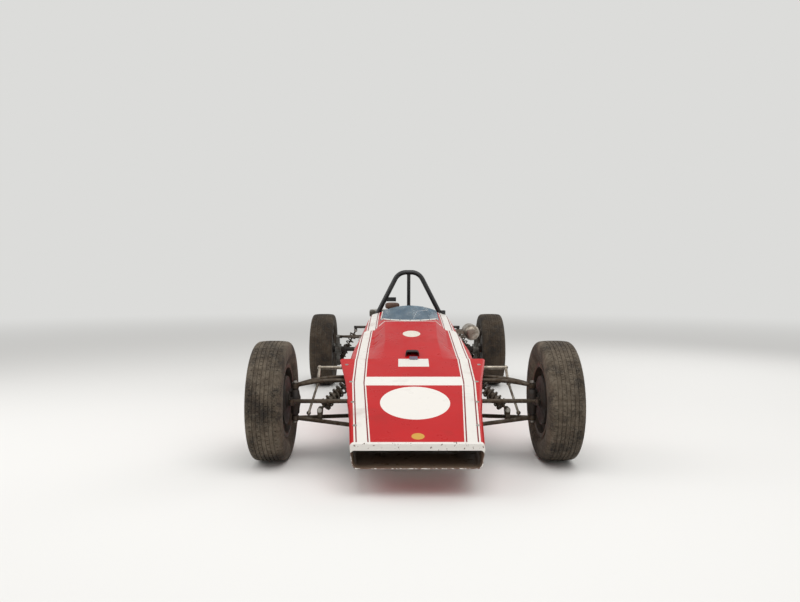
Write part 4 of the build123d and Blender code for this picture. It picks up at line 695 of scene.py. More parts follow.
@dataclass(frozen=True)
class Vinyl(Finish):
    """Coated cloth over foam: a pebbled grain of small cells, with soft creases."""

    def bump_height(self, place: Wire) -> Wire:
        """Grain cells with creases that run through them."""
        cells = place.made("TexVoronoi", {"Vector": place, "Scale": 1000.0 / 2.2}, out="Distance")
        return cells * 0.6 + self.noise(place, 35.0, 4.0)


@dataclass(frozen=True)
class Webbing(Finish):
    """Woven polyester strap, with ribs across it."""

    def bump_height(self, place: Wire) -> Wire:
        """Ribs of the weave, drawn coarser than real so that they show."""
        values = {"Vector": place, "Scale": 1000.0 / 13.0, "Distortion": 0.4}
        return place.made("TexWave", values, out="Fac", bands_direction="DIAGONAL")


# Each finish: its material's name, two tones, the dirt's colour and share, the sizes of its clouds and grain
# and the grain's depth in millimetres, how metallic it is, its roughness and how far the roughness spreads
FINISHES: dict[str, Finish] = {
    "paint": RacingPaint("sprayed_red_enamel", "b31418", "bb1b1e", "7c352d", 0.08, 260.0, 60.0, 0.25, 0.0,
                         0.32, 0.08, 0.04),
    "frame": Finish("brushed_on_black_frame_paint", "1c1b1b", "2a2827", "6a5847", 0.28, 90.0, 1.5, 0.05, 0.0,
                    0.42, 0.12),
    "hoop": Finish("satin_black_tube_paint", "141415", "1f1f20", "4c4640", 0.1, 120.0, 1.5, 0.03, 0.0, 0.36,
                   0.08),
    "screen": Acrylic("tinted_cast_acrylic", "6f8798", "8ba0ae", "b6bfc2", 0.2, 70.0, 3.0, 0.02, 0.0, 0.16,
                      0.08),
    "alloy": Finish("polished_spun_alloy", "c9cac9", "b4b5b6", "8d8578", 0.12, 60.0, 1.0, 0.02, 1.0, 0.2,
                    0.08),
    "tank": Finish("oxidised_spun_alloy", "aaa196", "938a7e", "5f5345", 0.42, 45.0, 1.2, 0.05, 0.9, 0.36,
                   0.1),
    "sheet": Finish("rolled_alloy_sheet", "a9aaa8", "8f908f", "6a6052", 0.3, 110.0, 1.2, 0.03, 1.0, 0.38,
                    0.1),
    "cast": Finish("sand_cast_alloy", "8d8c88", "76756f", "54493c", 0.42, 70.0, 2.2, 0.25, 0.75, 0.58, 0.1),
    "steel": Finish("plated_steel_gone_dull", "5f564b", "4a4239", "4a3a2b", 0.5, 40.0, 1.2, 0.05, 0.7, 0.5,
                    0.12),
    "bright": Finish("bright_plated_steel", "b7b4ae", "9d9992", "6a5b49", 0.22, 40.0, 1.0, 0.03, 0.9, 0.32,
                     0.08),
    "iron": Finish("oily_cast_iron", "2c2927", "38332f", "44352a", 0.45, 60.0, 2.0, 0.2, 0.3, 0.6, 0.12),
    "engine": Finish("engine_enamel_grey_blue", "3a4347", "454c4d", "4b3d30", 0.42, 90.0, 2.5, 0.2, 0.1, 0.5,
                     0.12),
    "exhaust": Finish("heat_stained_steel_pipe", "6b5c50", "8a7767", "4a342a", 0.4, 70.0, 1.5, 0.05, 0.8,
                      0.48, 0.12),
    "rubber": DustyRubber("dusty_racing_tyre_rubber", "17120d", "272018", "463c31", 0.45, 34.0, 1.6, 0.12,
                          0.0, 0.85, 0.06),
    "rear_rubber": DustyRubber("old_racing_tyre_rubber", "130e0a", "1d1611", "3d3226", 0.42, 42.0, 1.6, 0.12,
                               0.0, 0.85, 0.06, dust="4a3f32"),
    "black": Finish("moulded_black_plastic", "1b1b1c", "252526", "57504a", 0.16, 50.0, 0.9, 0.04, 0.0, 0.45,
                    0.08),
    "rim": Finish("dull_painted_cast_wheel", "3b352f", "463f38", "614b39", 0.45, 70.0, 2.0, 0.12, 0.3, 0.55,
                  0.1),
    "seat": Finish("brown_trimmed_vinyl", "4a2f22", "57392a", "77624f", 0.25, 90.0, 1.4, 0.18, 0.0, 0.48,
                   0.08),
    "springs": Finish("worn_spring_enamel", "5d564b", "736a5c", "3f3226", 0.55, 40.0, 1.0, 0.04, 0.0, 0.42,
                      0.1),
    "core": Finish("bare_radiator_core", "5c5a55", "4a4843", "5f5142", 0.35, 60.0, 2.0, 0.3, 0.6, 0.55, 0.1),
    "red_cap": Finish("moulded_red_cap", "8e2a1f", "9d3226", "5a4334", 0.25, 30.0, 1.0, 0.03, 0.0, 0.4, 0.08),
    "white_trim": Finish("white_edge_trim", "e2dfd8", "d4d0c8", "9a8e80", 0.2, 30.0, 1.0, 0.03, 0.0, 0.45,
                         0.08),
    # Near black for the scuttle scoop: painted shade for its mouth's dark hollow, not the laminate's colour
    "painted_shade_black": Finish("scoop_painted_shade", "1a1413", "241b19", "3d2f2a", 0.2, 50.0, 2.0, 0.1, 0.0,
                        0.75, 0.1),
    "bar": Finish("rubbed_roll_bar_steel", "b3aa9c", "8b8174", "54442f", 0.35, 45.0, 1.2, 0.05, 0.75, 0.36,
                  0.12),
    "filter_felt": Finish("oiled_filter_paper", "4d463c", "403a31", "2f2a23", 0.35, 20.0, 1.0, 0.2, 0.0, 0.85,
                          0.05),
    "pad_vinyl": Vinyl("stitched_brown_vinyl", "4b3226", "563b2d", "75614f", 0.22, 60.0, 1.1, 0.2, 0.0, 0.46,
                       0.08),
    "strap": Webbing("woven_harness_webbing", "27375a", "2f4166", "6a6154", 0.22, 50.0, 1.6, 0.35, 0.0, 0.82,
                     0.05),
    "flap": Finish("grey_plastic_flap", "7d7484", "6c6573", "5f5148", 0.15, 40.0, 1.0, 0.04, 0.0, 0.5, 0.08),
}

NODE_FINISHES: dict[str, tuple[str, ...]] = {
    "paint": ("nose_cone", "cockpit_surround"),
    "frame": ("chassis_frame", "engine_bay_frame", "dash_panel"),
    "hoop": ("roll_hoop",),
    "screen": ("windscreen",),
    "alloy": ("rocker_cover",),
    "tank": ("oil_tank",),
    "sheet": ("floor_pan", "firewall"),
    "cast": ("gearbox", "rear_uprights", "carburettor", "rack_housing"),
    "steel": ("front_wishbones", "rear_links", "driver_controls", "track_rods", "front_dampers",
              "rear_dampers"),
    "bar": ("anti_roll_bar",),
    "iron": ("knuckle_left", "knuckle_right") + tuple(f"hub_{wheel}" for wheel in WHEELS),
    "engine": ("engine_block",),
    "exhaust": ("exhaust",),
    "rim": tuple(f"rim_{wheel}" for wheel in WHEELS),
    "rubber": ("tyre_front_left", "tyre_front_right"),
    "rear_rubber": ("tyre_rear_left", "tyre_rear_right"),
    "black": ("steering_wheel",),
    "seat": ("seat_shell",),
    "springs": ("front_springs", "rear_springs"),
    "core": ("radiator",),
}


class Paintshop:
    """Builds each finish once and hands it out by name."""

    def __init__(self) -> None:
        """Start with no material made."""
        self.made: dict[str, Any] = {}

    def get(self, name: str) -> Any:
        """The material of a named finish, made when it is first asked for."""
        if name not in self.made:
            self.made[name] = FINISHES[name].build()
        return self.made[name]

    def dress_nodes(self) -> None:
        """Give every carried-over CAD node its finish."""
        for finish, nodes in NODE_FINISHES.items():
            for node in nodes:
                for material_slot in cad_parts[node].material_slots:
                    material_slot.material = self.get(finish)
                LOG.info("dressed %s with %s", node, finish)


SHOP = Paintshop()


def add_piece(name: str, surface: Surface, finish: str | Finish, body: str = "chassis",
              sharp: float = 35.0) -> Any:
    """Put a surface into the scene as one piece that rides on a body.

    Args:
        name: The piece's name.
        surface: Its points and faces.
        finish: The name of its finish, or a finish of its own.
        body: The CAD body that it moves with.
        sharp: The angle between faces, in degrees, above which an edge stays sharp.

    Returns:
        The Blender object.
    """
    mesh = bpy.data.meshes.new(name)
    mesh.from_pydata(surface.points.tolist(), [], surface.faces)
    mesh.polygons.foreach_set("use_smooth", np.ones(len(mesh.polygons), bool))
    mesh.set_sharp_from_angle(angle=math.radians(sharp))
    mesh.materials.append(SHOP.get(finish) if isinstance(finish, str) else finish.build())
    mesh.update()
    piece = bpy.data.objects.new(name, mesh)
    bpy.context.scene.collection.objects.link(piece)
    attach(piece, body)
    LOG.info("built %s: %d faces on %s", name, len(mesh.polygons), body)
    return piece


# Sub-assemblies


@dataclass
class Tyre:
    """A treaded racing tyre, worked out from its wheel's box in the CAD."""

    wheel: str
    groove_width: float = 0.0042
    groove_depth: float = 0.003
    groove_pitch: float = 0.0185
    grooves: tuple[float, ...] = (-0.04625, -0.02775, -0.00925, 0.00925, 0.02775, 0.04625)
    shoulder: float = 0.024
    pitches: int = 76
    cut_share: float = 0.13
    zigzag: float = 0.016
    steps: tuple[float, ...] = (0.0, 0.125, 0.135, 0.5, 0.75, 0.995)

    def across(self, half: float) -> np.ndarray:
        """Places across the tread, with a pair at each wall of each groove.

        Args:
            half: Half the width of the tread.

        Returns:
            The places, in order.
        """
        walls = np.array([-0.5, -0.42, 0.42, 0.5]) * self.groove_width
        centres = np.array(self.grooves)
        middles = centres[:-1] + self.groove_pitch / 2
        places = np.concatenate([(centres[:, None] + walls[None]).ravel(), [-half, half], middles])
        return np.unique(np.clip(places, -half, half))

    def build(self) -> None:
        """Make the tyre: a closed profile turned round the axle, with the tread pressed in.

        A tread point's radius is the crown's radius, less a small fall to the shoulders, less the groove's
        depth where it lies in a groove round the tyre or in a cut across an outer rib. Angles swing to and
        fro across the tread, so the cuts are zigzags.
        """
        low, high = (np.array(corner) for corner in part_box(f"tyre_{self.wheel}"))
        centre = (low + high) / 2
        radius, half = (high[2] - low[2]) / 2, (high[0] - low[0]) / 2
        tread_half = half - self.shoulder - 0.002
        tread = self.across(tread_half)
        crown = radius - 0.0004 - 0.003 * (np.abs(tread) / tread_half) ** 3
        quarter = np.linspace(0, 1.45, 9)
        shoulder = np.stack([tread_half + self.shoulder * np.sin(quarter),
                             crown[-1] - self.shoulder * (1 - np.cos(quarter))], axis=1)
        side = np.concatenate([shoulder, softened(
            [(half - 0.001, radius - 0.034), (half - 0.0005, radius - 0.062), (half - 0.008, 0.205),
             (0.0655, 0.188), (0.0655, 0.1658)], 2)])
        inner = np.array([(0.052, 0.1658), (half - 0.012, radius - 0.064), (half - 0.026, radius - 0.018)])
        outline = np.concatenate([
            np.stack([tread, crown], axis=1), side[1:], inner,
            (inner * [-1, 1])[::-1], (side[1:] * [-1, 1])[::-1]])
        in_groove = (np.abs(tread[:, None] - np.array(self.grooves)[None]).min(axis=1)
                     < self.groove_width * 0.45)
        outer_rib = ((np.abs(tread) > self.grooves[-1] + self.groove_width)
                     | (np.abs(np.abs(tread) - 0.0185) < 0.007))
        share = (np.arange(self.pitches)[:, None] + np.array(self.steps)[None]).ravel() / self.pitches
        in_cut = np.tile(np.array(self.steps) < self.cut_share, self.pitches)
        depth = np.zeros((len(share), len(outline)))
        pressed = in_groove[None, :] | (in_cut[:, None] & outer_rib[None, :])
        depth[:, : len(tread)] = np.where(pressed, self.groove_depth, 0.0)
        swing = np.zeros(len(outline))
        swing[: len(tread)] = self.zigzag * (np.abs((tread / self.groove_pitch) % 2 - 1) - 0.5)
        turn = 2 * np.pi * share[:, None] + swing[None, :]
        reach = outline[None, :, 1] - depth
        grid = np.stack([
            np.broadcast_to(outline[None, :, 0], turn.shape) + centre[0],
            centre[1] + reach * np.sin(turn),
            centre[2] - reach * np.cos(turn)], axis=-1)
        finish = "rear_rubber" if self.wheel.startswith("rear") else "rubber"
        tyre = add_piece(f"treaded_tyre_{self.wheel}", woven(grid[:, ::-1], loop=True), finish,
                         f"wheel_{self.wheel}", sharp=30.0)
        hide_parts(f"tyre_{self.wheel}")


@dataclass
class WheelTrim:
    """The small things on a rim: its valve and its balance weights."""

    wheel: str
    side: Side

    def build(self) -> None:
        """Make the valve and three clip-on weights at the rim's edge."""
        low, high = (np.array(corner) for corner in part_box(f"rim_{self.wheel}"))
        centre = (low + high) / 2
        sign = self.side.value
        face = high[0] if sign > 0 else low[0]
        valve = turned([(0, 0.004), (0.022, 0.004), (0.024, 0.0052), (0.034, 0.0052), (0.037, 0.003)],
                       (face - sign * 0.034, centre[1], centre[2] + 0.147), (sign, 0, -0.25), 12)
        weights = []
        for angle in (0.4, 0.62, 3.9):
            turn = np.linspace(angle, angle + 0.16, 7)
            path = np.stack([np.full_like(turn, face - sign * 0.002), centre[1] + 0.1735 * np.sin(turn),
                             centre[2] + 0.1735 * np.cos(turn)], axis=1)
            weights.append(swept(path, 0.0045, 8, (1, 0, 0), 0.6))
        body = f"wheel_{self.wheel}"
        add_piece(f"valve_{self.wheel}", valve, "black", body)
        add_piece(f"balance_weights_{self.wheel}", joined(weights), "cast", body)


@dataclass
class NoseDetails:
    """What is fixed to the nose: quick-release screws, the scuttle's scoop and its flap."""

    slope: float = 0.271
    lip_z: float = 0.217
    nose_y: float = -1.775

    def top_z(self, y: Any) -> Any:
        """Height of the flat wedge at a place along the car."""
        return self.lip_z + self.slope * (np.asarray(y) - self.nose_y)

    def scuttle_z(self, y: np.ndarray) -> np.ndarray:
        """Height of the hump under the scoop at places along the car."""
        return 0.457 + 0.27 * (y + 0.89)

    def fastener(self, x: float, y: float, z: float, axis: tuple) -> Surface:
        """A slotted quick-release screw: a dished washer with a low round head."""
        rows = [(-0.001, 0.0095), (0.0008, 0.0095), (0.0016, 0.0075), (0.0012, 0.006), (0.0026, 0.0055),
                (0.003, 0.003)]
        return turned(rows, (x, y, z), axis, 20)

    def build(self) -> None:
        """Make the screws, the scoop and the flap."""
        screws = []
        up = (0.0, -self.slope, 1.0)
        for sign in (1, -1):
            for y, x in ((-1.62, 0.262), (-1.40, 0.285), (-1.18, 0.308), (-0.97, 0.345)):
                screws.append(self.fastener(sign * x, y, float(self.top_z(y)), up))
            for y, x, z in ((-0.285, 0.345, 0.455), (-0.285, 0.322, 0.505), (-0.215, 0.345, 0.458),
                            (-0.215, 0.320, 0.512)):
                screws.append(self.fastener(sign * x, y, z, (sign * 0.9, 0, 0.43)))
        add_piece("quick_release_screws", joined(screws), "bright")
        # The scoop is a square hood that opens forwards: a square arch whose height grows towards its mouth
        along = np.linspace(0, 1, 9)
        arch = np.linspace(0, np.pi, 33)
        width = 0.037 - 0.006 * along
        height = 0.027 * (1 - along ** 2) + 0.001
        y = -0.862 + 0.085 * along
        base = self.scuttle_z(y)
        square_x = np.sign(np.cos(arch)) * np.abs(np.cos(arch)) ** 0.35
        square_z = np.abs(np.sin(arch)) ** 0.35
        outer = np.stack([width[:, None] * square_x[None], np.broadcast_to(y[:, None], (9, 33)),
                          base[:, None] + height[:, None] * square_z[None]], axis=-1)
        inner = outer * 1.0
        inner[..., 0] *= 0.9
        inner[..., 2] -= 0.003
        hood = woven(np.concatenate([outer, inner[:, ::-1]], axis=1)[:, ::-1])
        # The hood is near black all over: painted shade that stands for the dark hollow of its mouth
        add_piece("scuttle_scoop", hood, "painted_shade_black")
        y = np.linspace(-0.904, -0.866, 9)
        path = np.stack([np.full_like(y, 0.006), y, self.scuttle_z(y) + 0.0022], axis=1)
        add_piece("scoop_flap", ribbon(path, (1, 0, 0), 0.044, 0.0036), "flap")


@dataclass
class ScreenTrim:
    """White trim on the windscreen: a strip along its foot and one up its right edge, with small screws."""

    low_z: float = 0.585
    high_z: float = 0.713
    half_widths: tuple[float, float] = (0.197, 0.172)
    fronts: tuple[float, float] = (-0.274, -0.122)
    rears: tuple[float, float] = (-0.120, -0.080)
    height: float = 0.006
    thickness: float = 0.0022

    def on_screen(self, share: np.ndarray, z: np.ndarray, out: float) -> np.ndarray:
        """Points on the screen's outer face: an arc through its rear corners and its front, at each height.

        Args:
            share: How far round the arc a point is, from -1 at the right to 1 at the left.
            z: Each point's height.
            out: How far the point stands off the face.

        Returns:
            The points.
        """
        rise = (z - self.low_z) / (self.high_z - self.low_z)
        half, front, rear = (pair[0] + rise * (pair[1] - pair[0])
                             for pair in (self.half_widths, self.fronts, self.rears))
        depth = rear - front
        radius = (half ** 2 + depth ** 2) / (2 * depth)
        angle = share * np.arcsin(half / radius)
        reach = radius + out
        return np.stack([reach * np.sin(angle), front + radius - reach * np.cos(angle), z], axis=-1)

    def strip(self, share: np.ndarray, foot: np.ndarray, wide: np.ndarray) -> Surface:
        """A flat strip on the face: its four edges carried along the foot.

        Args:
            share: Where each section stands round the arc.
            foot: The height of each section's lower edge.
            wide: How high each section is.

        Returns:
            A closed strip.
        """
        edges = [(foot, 0.0), (foot, self.thickness), (foot + wide, self.thickness), (foot + wide, 0.0)]
        return woven(np.stack([self.on_screen(share, z, out) for z, out in edges], axis=1))

    def build(self) -> None:
        """Make the strips and the screws."""
        surround = CockpitTrim()
        share = np.linspace(-0.93, 0.93, 61)
        foot = np.full_like(share, 0.62)
        for _ in range(8):
            place = self.on_screen(share, foot, 0.0)
            foot = surround.edge_height(place[:, 0], place[:, 1]) + 0.0012
        base = self.strip(share, foot, np.full_like(share, self.height))
        add_piece("screen_foot_strip", base, "white_trim", sharp=50.0)
        z = np.linspace(0.624, 0.674, 15)
        edges = [(-0.99, 0.0), (-0.99, self.thickness), (-0.95, self.thickness), (-0.95, 0.0)]
        side = np.stack([self.on_screen(np.full_like(z, at), z, out) for at, out in edges], axis=1)
        add_piece("screen_edge_strip", woven(side[:, ::-1]), "white_trim", sharp=50.0)
        screws = []
        for at in np.linspace(-0.85, 0.85, 7):
            middle = float(np.interp(at, share, foot)) + self.height / 2
            place = self.on_screen(np.array([at]), np.array([middle]), self.thickness)[0]
            outward = self.on_screen(np.array([at]), np.array([middle]), 0.01)[0] - place
            screws.append(turned([(-0.001, 0.0034), (0.0008, 0.0034), (0.0014, 0.002)], place, outward, 14))
        add_piece("screen_screws", joined(screws), "bright")


@dataclass
class CockpitTrim:
    """What lines the cockpit: the edge's rubber, the dials, the dash's switches and warning lamp, and the
    gear knob.
    """

    front_y: float = -0.155
    rear_y: float = 0.251
    half_width: float = 0.186
    corner: float = 0.09
    panel_y: float = -0.1957
    # Each row is a measure at the three sections: the hump's edge, its height, the valley's edge, its height
    section_ys: tuple[float, ...] = (-0.25, 0.11, 0.261)
    sections: tuple[tuple[float, ...], ...] = (
        (0.160, 0.200, 0.196),
        (0.618, 0.636, 0.652),
        (0.225, 0.234, 0.232),
        (0.562, 0.624, 0.642),
    )
    # Each row is a dial's place along x and z, and its radius
    dials: tuple[tuple[float, float, float], ...] = (
        (0.0, 0.534, 0.024),
        (-0.082, 0.534, 0.022),
        (0.082, 0.534, 0.022),
        (-0.142, 0.514, 0.016),
    )
    toggle_xs: tuple[float, ...] = (0.128, 0.148, 0.168)
    toggle_z: float = 0.508

    def edge_height(self, x: np.ndarray, y: np.ndarray) -> np.ndarray:
        """Height of the surround's top: it falls from the hump outwards and rises to the rear."""
        hump_x, hump_z, valley_x, valley_z = (np.interp(y, self.section_ys, row) for row in self.sections)
        share = np.clip((np.abs(x) - hump_x) / (valley_x - hump_x), 0, 1)
        return hump_z + share * (valley_z - hump_z)

    def build(self) -> None:
        """Make the edge trim, the dials' faces, the dash's switches and lamp, and the knob."""
        turn = around(96)
        half_length = (self.rear_y - self.front_y) / 2
        middle = (self.rear_y + self.front_y) / 2
        x = np.sign(np.cos(turn)) * (self.half_width - self.corner) + self.corner * np.cos(turn)
        y = middle + np.sign(np.sin(turn)) * (half_length - self.corner) + self.corner * np.sin(turn)
        z = self.edge_height(x, y) - 0.002
        ring = np.stack([x, y, z], axis=1)
        turn = around(10)
        along = np.roll(ring, -1, axis=0) - np.roll(ring, 1, axis=0)
        along /= np.linalg.norm(along, axis=1, keepdims=True)
        up = np.array([0, 0, 1.0]) - along * along[:, 2:3]
        up /= np.linalg.norm(up, axis=1, keepdims=True)
        out = np.cross(up, along)
        tube = ring[:, None] + 0.0062 * (out[:, None] * np.cos(turn)[None, :, None]
                                         + up[:, None] * np.sin(turn)[None, :, None])
        add_piece("cockpit_edge_trim", woven(tube, loop=True), "black")
        for number, (dial_x, dial_z, radius) in enumerate(self.dials):
            face = Dial(f"printed_dial_face_{number}", "161616", "1d1d1d", dirt_share=0.05, roughness=0.35,
                        centre=(dial_x, dial_z), reach=radius)
            disc = turned([(0, radius), (0.0012, radius), (0.0012, radius * 0.5)],
                          (dial_x, self.panel_y, dial_z), BACK, 40)
            add_piece(f"dial_face_{number}", disc, face)
        toggles = []
        for x in self.toggle_xs:
            foot = (x, self.panel_y, self.toggle_z)
            rows = [(0, 0.006), (0.002, 0.006), (0.003, 0.0045), (0.009, 0.0045), (0.009, 0.0022)]
            toggles.append(turned(rows, foot, BACK, 16))
            rows = [(0.008, 0.0016), (0.020, 0.0026), (0.024, 0.0026), (0.0255, 0.0012)]
            toggles.append(turned(rows, foot, (0, 1, 0.45), 12))
        add_piece("dash_switches", joined(toggles), "bright")
        rows = [(0, 0.007), (0.003, 0.007), (0.004, 0.0055), (0.009, 0.004), (0.010, 0.0015)]
        lamp = turned(rows, (0.148, self.panel_y, 0.545), BACK, 20)
        add_piece("oil_warning_lamp", lamp, "red_cap")
        rows = [(-0.0215, 0.006), (-0.019, 0.012), (-0.010, 0.0185), (0.0, 0.0202), (0.010, 0.0182),
                (0.0175, 0.0105), (0.0205, 0.004)]
        knob = turned(rows, (-0.215, -0.045, 0.478), UP, 32)
        add_piece("gear_knob", knob, "black")


@dataclass
class Seat:
    """The seat's two stitched pads, its harness, and a small head pad at its right corner."""

    front: tuple[float, float] = (-0.140, 0.205)
    hip: tuple[float, float] = (0.085, 0.168)
    top: tuple[float, float] = (0.223, 0.690)
    thickness: float = 0.020
    strap_width: float = 0.044

    def pad(self, start: np.ndarray, end: np.ndarray, out: np.ndarray, halves: tuple[float, float],
            channels: int) -> Surface:
        """A crowned pad on the shell, closed all round.

        Across it, u runs from -1 to 1 over the top and back below. The top's height is the thickness times
        (1 - u^4)(1 - v^6), less a narrow dip at each sewn channel, and the underside lies on the shell.

        Args:
            start: One end of its middle line, in the YZ plane.
            end: The other end.
            out: The direction away from the shell, in the YZ plane.
            halves: Half its width at both ends.
            channels: How many channels are sewn across it.

        Returns:
            The pad.
        """
        v = np.sin(np.linspace(-np.pi / 2, np.pi / 2, 72))
        u = np.sin(np.linspace(-np.pi / 2, np.pi / 2, 36))
        share = (v + 1) / 2
        places = np.arange(1, channels + 1) / (channels + 1)
        dips = np.exp(-(((share[:, None] - places[None]) / 0.012) ** 2)).sum(axis=1)
        round_end = (1 - np.abs(v) ** 8) ** 0.5
        half = (halves[0] + share * (halves[1] - halves[0])) * (0.86 + 0.14 * round_end)
        crown = (1 - np.abs(u) ** 4)[None] * (1 - np.abs(v) ** 6)[:, None]
        high = self.thickness * crown * (1 - 0.4 * dips)[:, None] + 0.003
        low = np.full_like(high, 0.0008)
        line = start + share[:, None] * (end - start)

        def placed(across: np.ndarray, height: np.ndarray) -> np.ndarray:
            """Points at shares across and heights above the shell."""
            x = half[:, None] * across[None]
            yz = line[:, None] + height[..., None] * out
            return np.concatenate([x[..., None], yz], axis=-1)

        grid = np.concatenate([placed(u, high), placed(u[::-1], low)], axis=1)
        return woven(grid[:, ::-1])

    def piping(self, surface: Surface) -> Surface:
        """A thin cord sewn round a pad's edge, where its top meets its underside."""
        grid = surface.points.reshape(72, 72, 3)
        left, right = grid[3:-3, 36], grid[3:-3, 0]
        return joined([swept(left, 0.0026, 8, (1, 0, 0)), swept(right, 0.0026, 8, (1, 0, 0))])

    def strap(self, points: list[tuple[float, float, float]], across: tuple[float, float, float]) -> Surface:
        """A harness strap along a smoothed run of points."""
        return ribbon(softened(points, 4), across, self.strap_width, 0.0024)

    def build(self) -> None:
        """Make the pads, the straps with their buckle and adjusters, and the head pad."""
        front, hip, top = (np.array(point) for point in (self.front, self.hip, self.top))
        ahead = (hip - front) / np.linalg.norm(hip - front)
        upward = (top - hip) / np.linalg.norm(top - hip)
        base_out = np.array([-ahead[1], ahead[0]])
        back_out = np.array([-upward[1], upward[0]])
        lift = 0.003
        for name, start, end, out, halves, channels in (
            ("seat_base_pad", front + 0.014 * ahead, hip - 0.055 * ahead, base_out, (0.146, 0.150), 3),
            ("seat_back_pad", hip + 0.075 * upward, top - 0.012 * upward, back_out, (0.150, 0.104), 7),
        ):
            surface = self.pad(start + lift * out, end + lift * out, out, halves, channels)
            pad = add_piece(name, surface, "pad_vinyl", sharp=60.0)
            add_piece(name + "_piping", self.piping(surface), "pad_vinyl", sharp=60.0)
        straps, fittings = [], []
        for sign in (1, -1):
            over = [(sign * 0.085, 0.262, 0.560), (sign * 0.082, 0.252, 0.660), (sign * 0.078, 0.234, 0.704)]
            down = [(sign * 0.074, *(hip + share * (top - hip) + 0.030 * back_out))
                    for share in (0.90, 0.75, 0.5, 0.28)]
            lap = [(sign * 0.050, 0.040, 0.218), (sign * 0.030, 0.000, 0.222)]
            straps.append(self.strap(over + down + lap, (1, 0, 0)))
            straps.append(self.strap([(sign * 0.158, 0.075, 0.285), (sign * 0.146, 0.058, 0.232),
                                      (sign * 0.100, 0.030, 0.222),
                                      (sign * 0.028, -0.004, 0.223)], (0.25 * sign, 1, 0)))
            middle = hip + 0.62 * (top - hip) + 0.033 * back_out
            fittings.append(ribbon([(sign * 0.074 - 0.026, *middle),
                                    (sign * 0.074, *(middle + 0.002 * back_out)),
                                    (sign * 0.074 + 0.026, *middle)], (0, *upward), 0.026, 0.004))
        straps.append(self.strap([(0.0, -0.118, 0.226), (0.0, -0.070, 0.226), (0.0, -0.020, 0.223)],
                                 (1, 0, 0)))
        add_piece("harness_straps", joined(straps), "strap", sharp=60.0)
        rows = [(-0.004, 0.026), (0.008, 0.030), (0.012, 0.028), (0.013, 0.022), (0.011, 0.020),
                (0.015, 0.016), (0.016, 0.006)]
        fittings.append(turned(rows, (0.0, -0.004, 0.222), (0, -0.16, 1), 32))
        add_piece("harness_buckle", joined(fittings), "bright")
        # The head pad is a rounded cushion: a superellipse whose three half-sizes are given
        latitude = np.linspace(-np.pi / 2, np.pi / 2, 25)[1:-1]
        longitude = around(48)

        def bent(value: np.ndarray) -> np.ndarray:
            """A sine or cosine pulled towards a square."""
            return np.sign(value) * np.abs(value) ** 0.6

        ring = np.cos(latitude)[:, None] ** 0.6
        x = -0.116 + 0.050 * ring * bent(np.cos(longitude))[None]
        y = 0.214 + 0.021 * ring * bent(np.sin(longitude))[None]
        z = np.broadcast_to(0.699 + 0.023 * bent(np.sin(latitude))[:, None], x.shape)
        pad = add_piece("head_pad", woven(np.stack([x, y, z], axis=-1)), "pad_vinyl", sharp=60.0)


@dataclass
class SteeringWheelTrim:
    """What is fixed to the steering wheel: its stitching, its centre cap and six screws."""

    centre: tuple[float, float, float] = (0.0, -0.04, 0.52)
    pinion: tuple[float, float, float] = (0.0, -1.3060, 0.276)
    ring_radius: float = 0.124
    section: float = 0.011
    stitches: int = 96

    def build(self) -> None:
        """Make them all on the wheel's plane."""
        centre = np.array(self.centre)
        axis = centre - np.array(self.pinion)
        axis /= np.linalg.norm(axis)
        first = np.array([1.0, 0.0, 0.0])
        second = np.cross(axis, first)
        stitches = []
        for angle in around(self.stitches):
            inward = np.cos(angle) * first + np.sin(angle) * second
            side = np.cross(axis, inward)
            foot = centre + inward * (self.ring_radius - self.section)
            path = [foot - 0.0022 * axis - 0.0016 * side, foot - 0.0012 * inward,
                    foot + 0.0022 * axis + 0.0016 * side]
            stitches.append(swept(path, 0.0007, 5, tuple(inward)))
        add_piece("steering_wheel_stitches", joined(stitches), "white_trim", "steering_wheel")
        cap = turned([(0.008, 0.0215), (0.010, 0.021), (0.012, 0.016), (0.013, 0.006)], centre, axis, 32)
        heads = []
        for angle in around(6):
            place = centre + 0.028 * (np.cos(angle) * first + np.sin(angle) * second) + 0.0026 * axis
            heads.append(turned([(0, 0.0034), (0.0022, 0.0034), (0.0028, 0.002)], place, axis, 12))
        add_piece("steering_wheel_cap", joined([cap, *heads]), "bright", "steering_wheel")


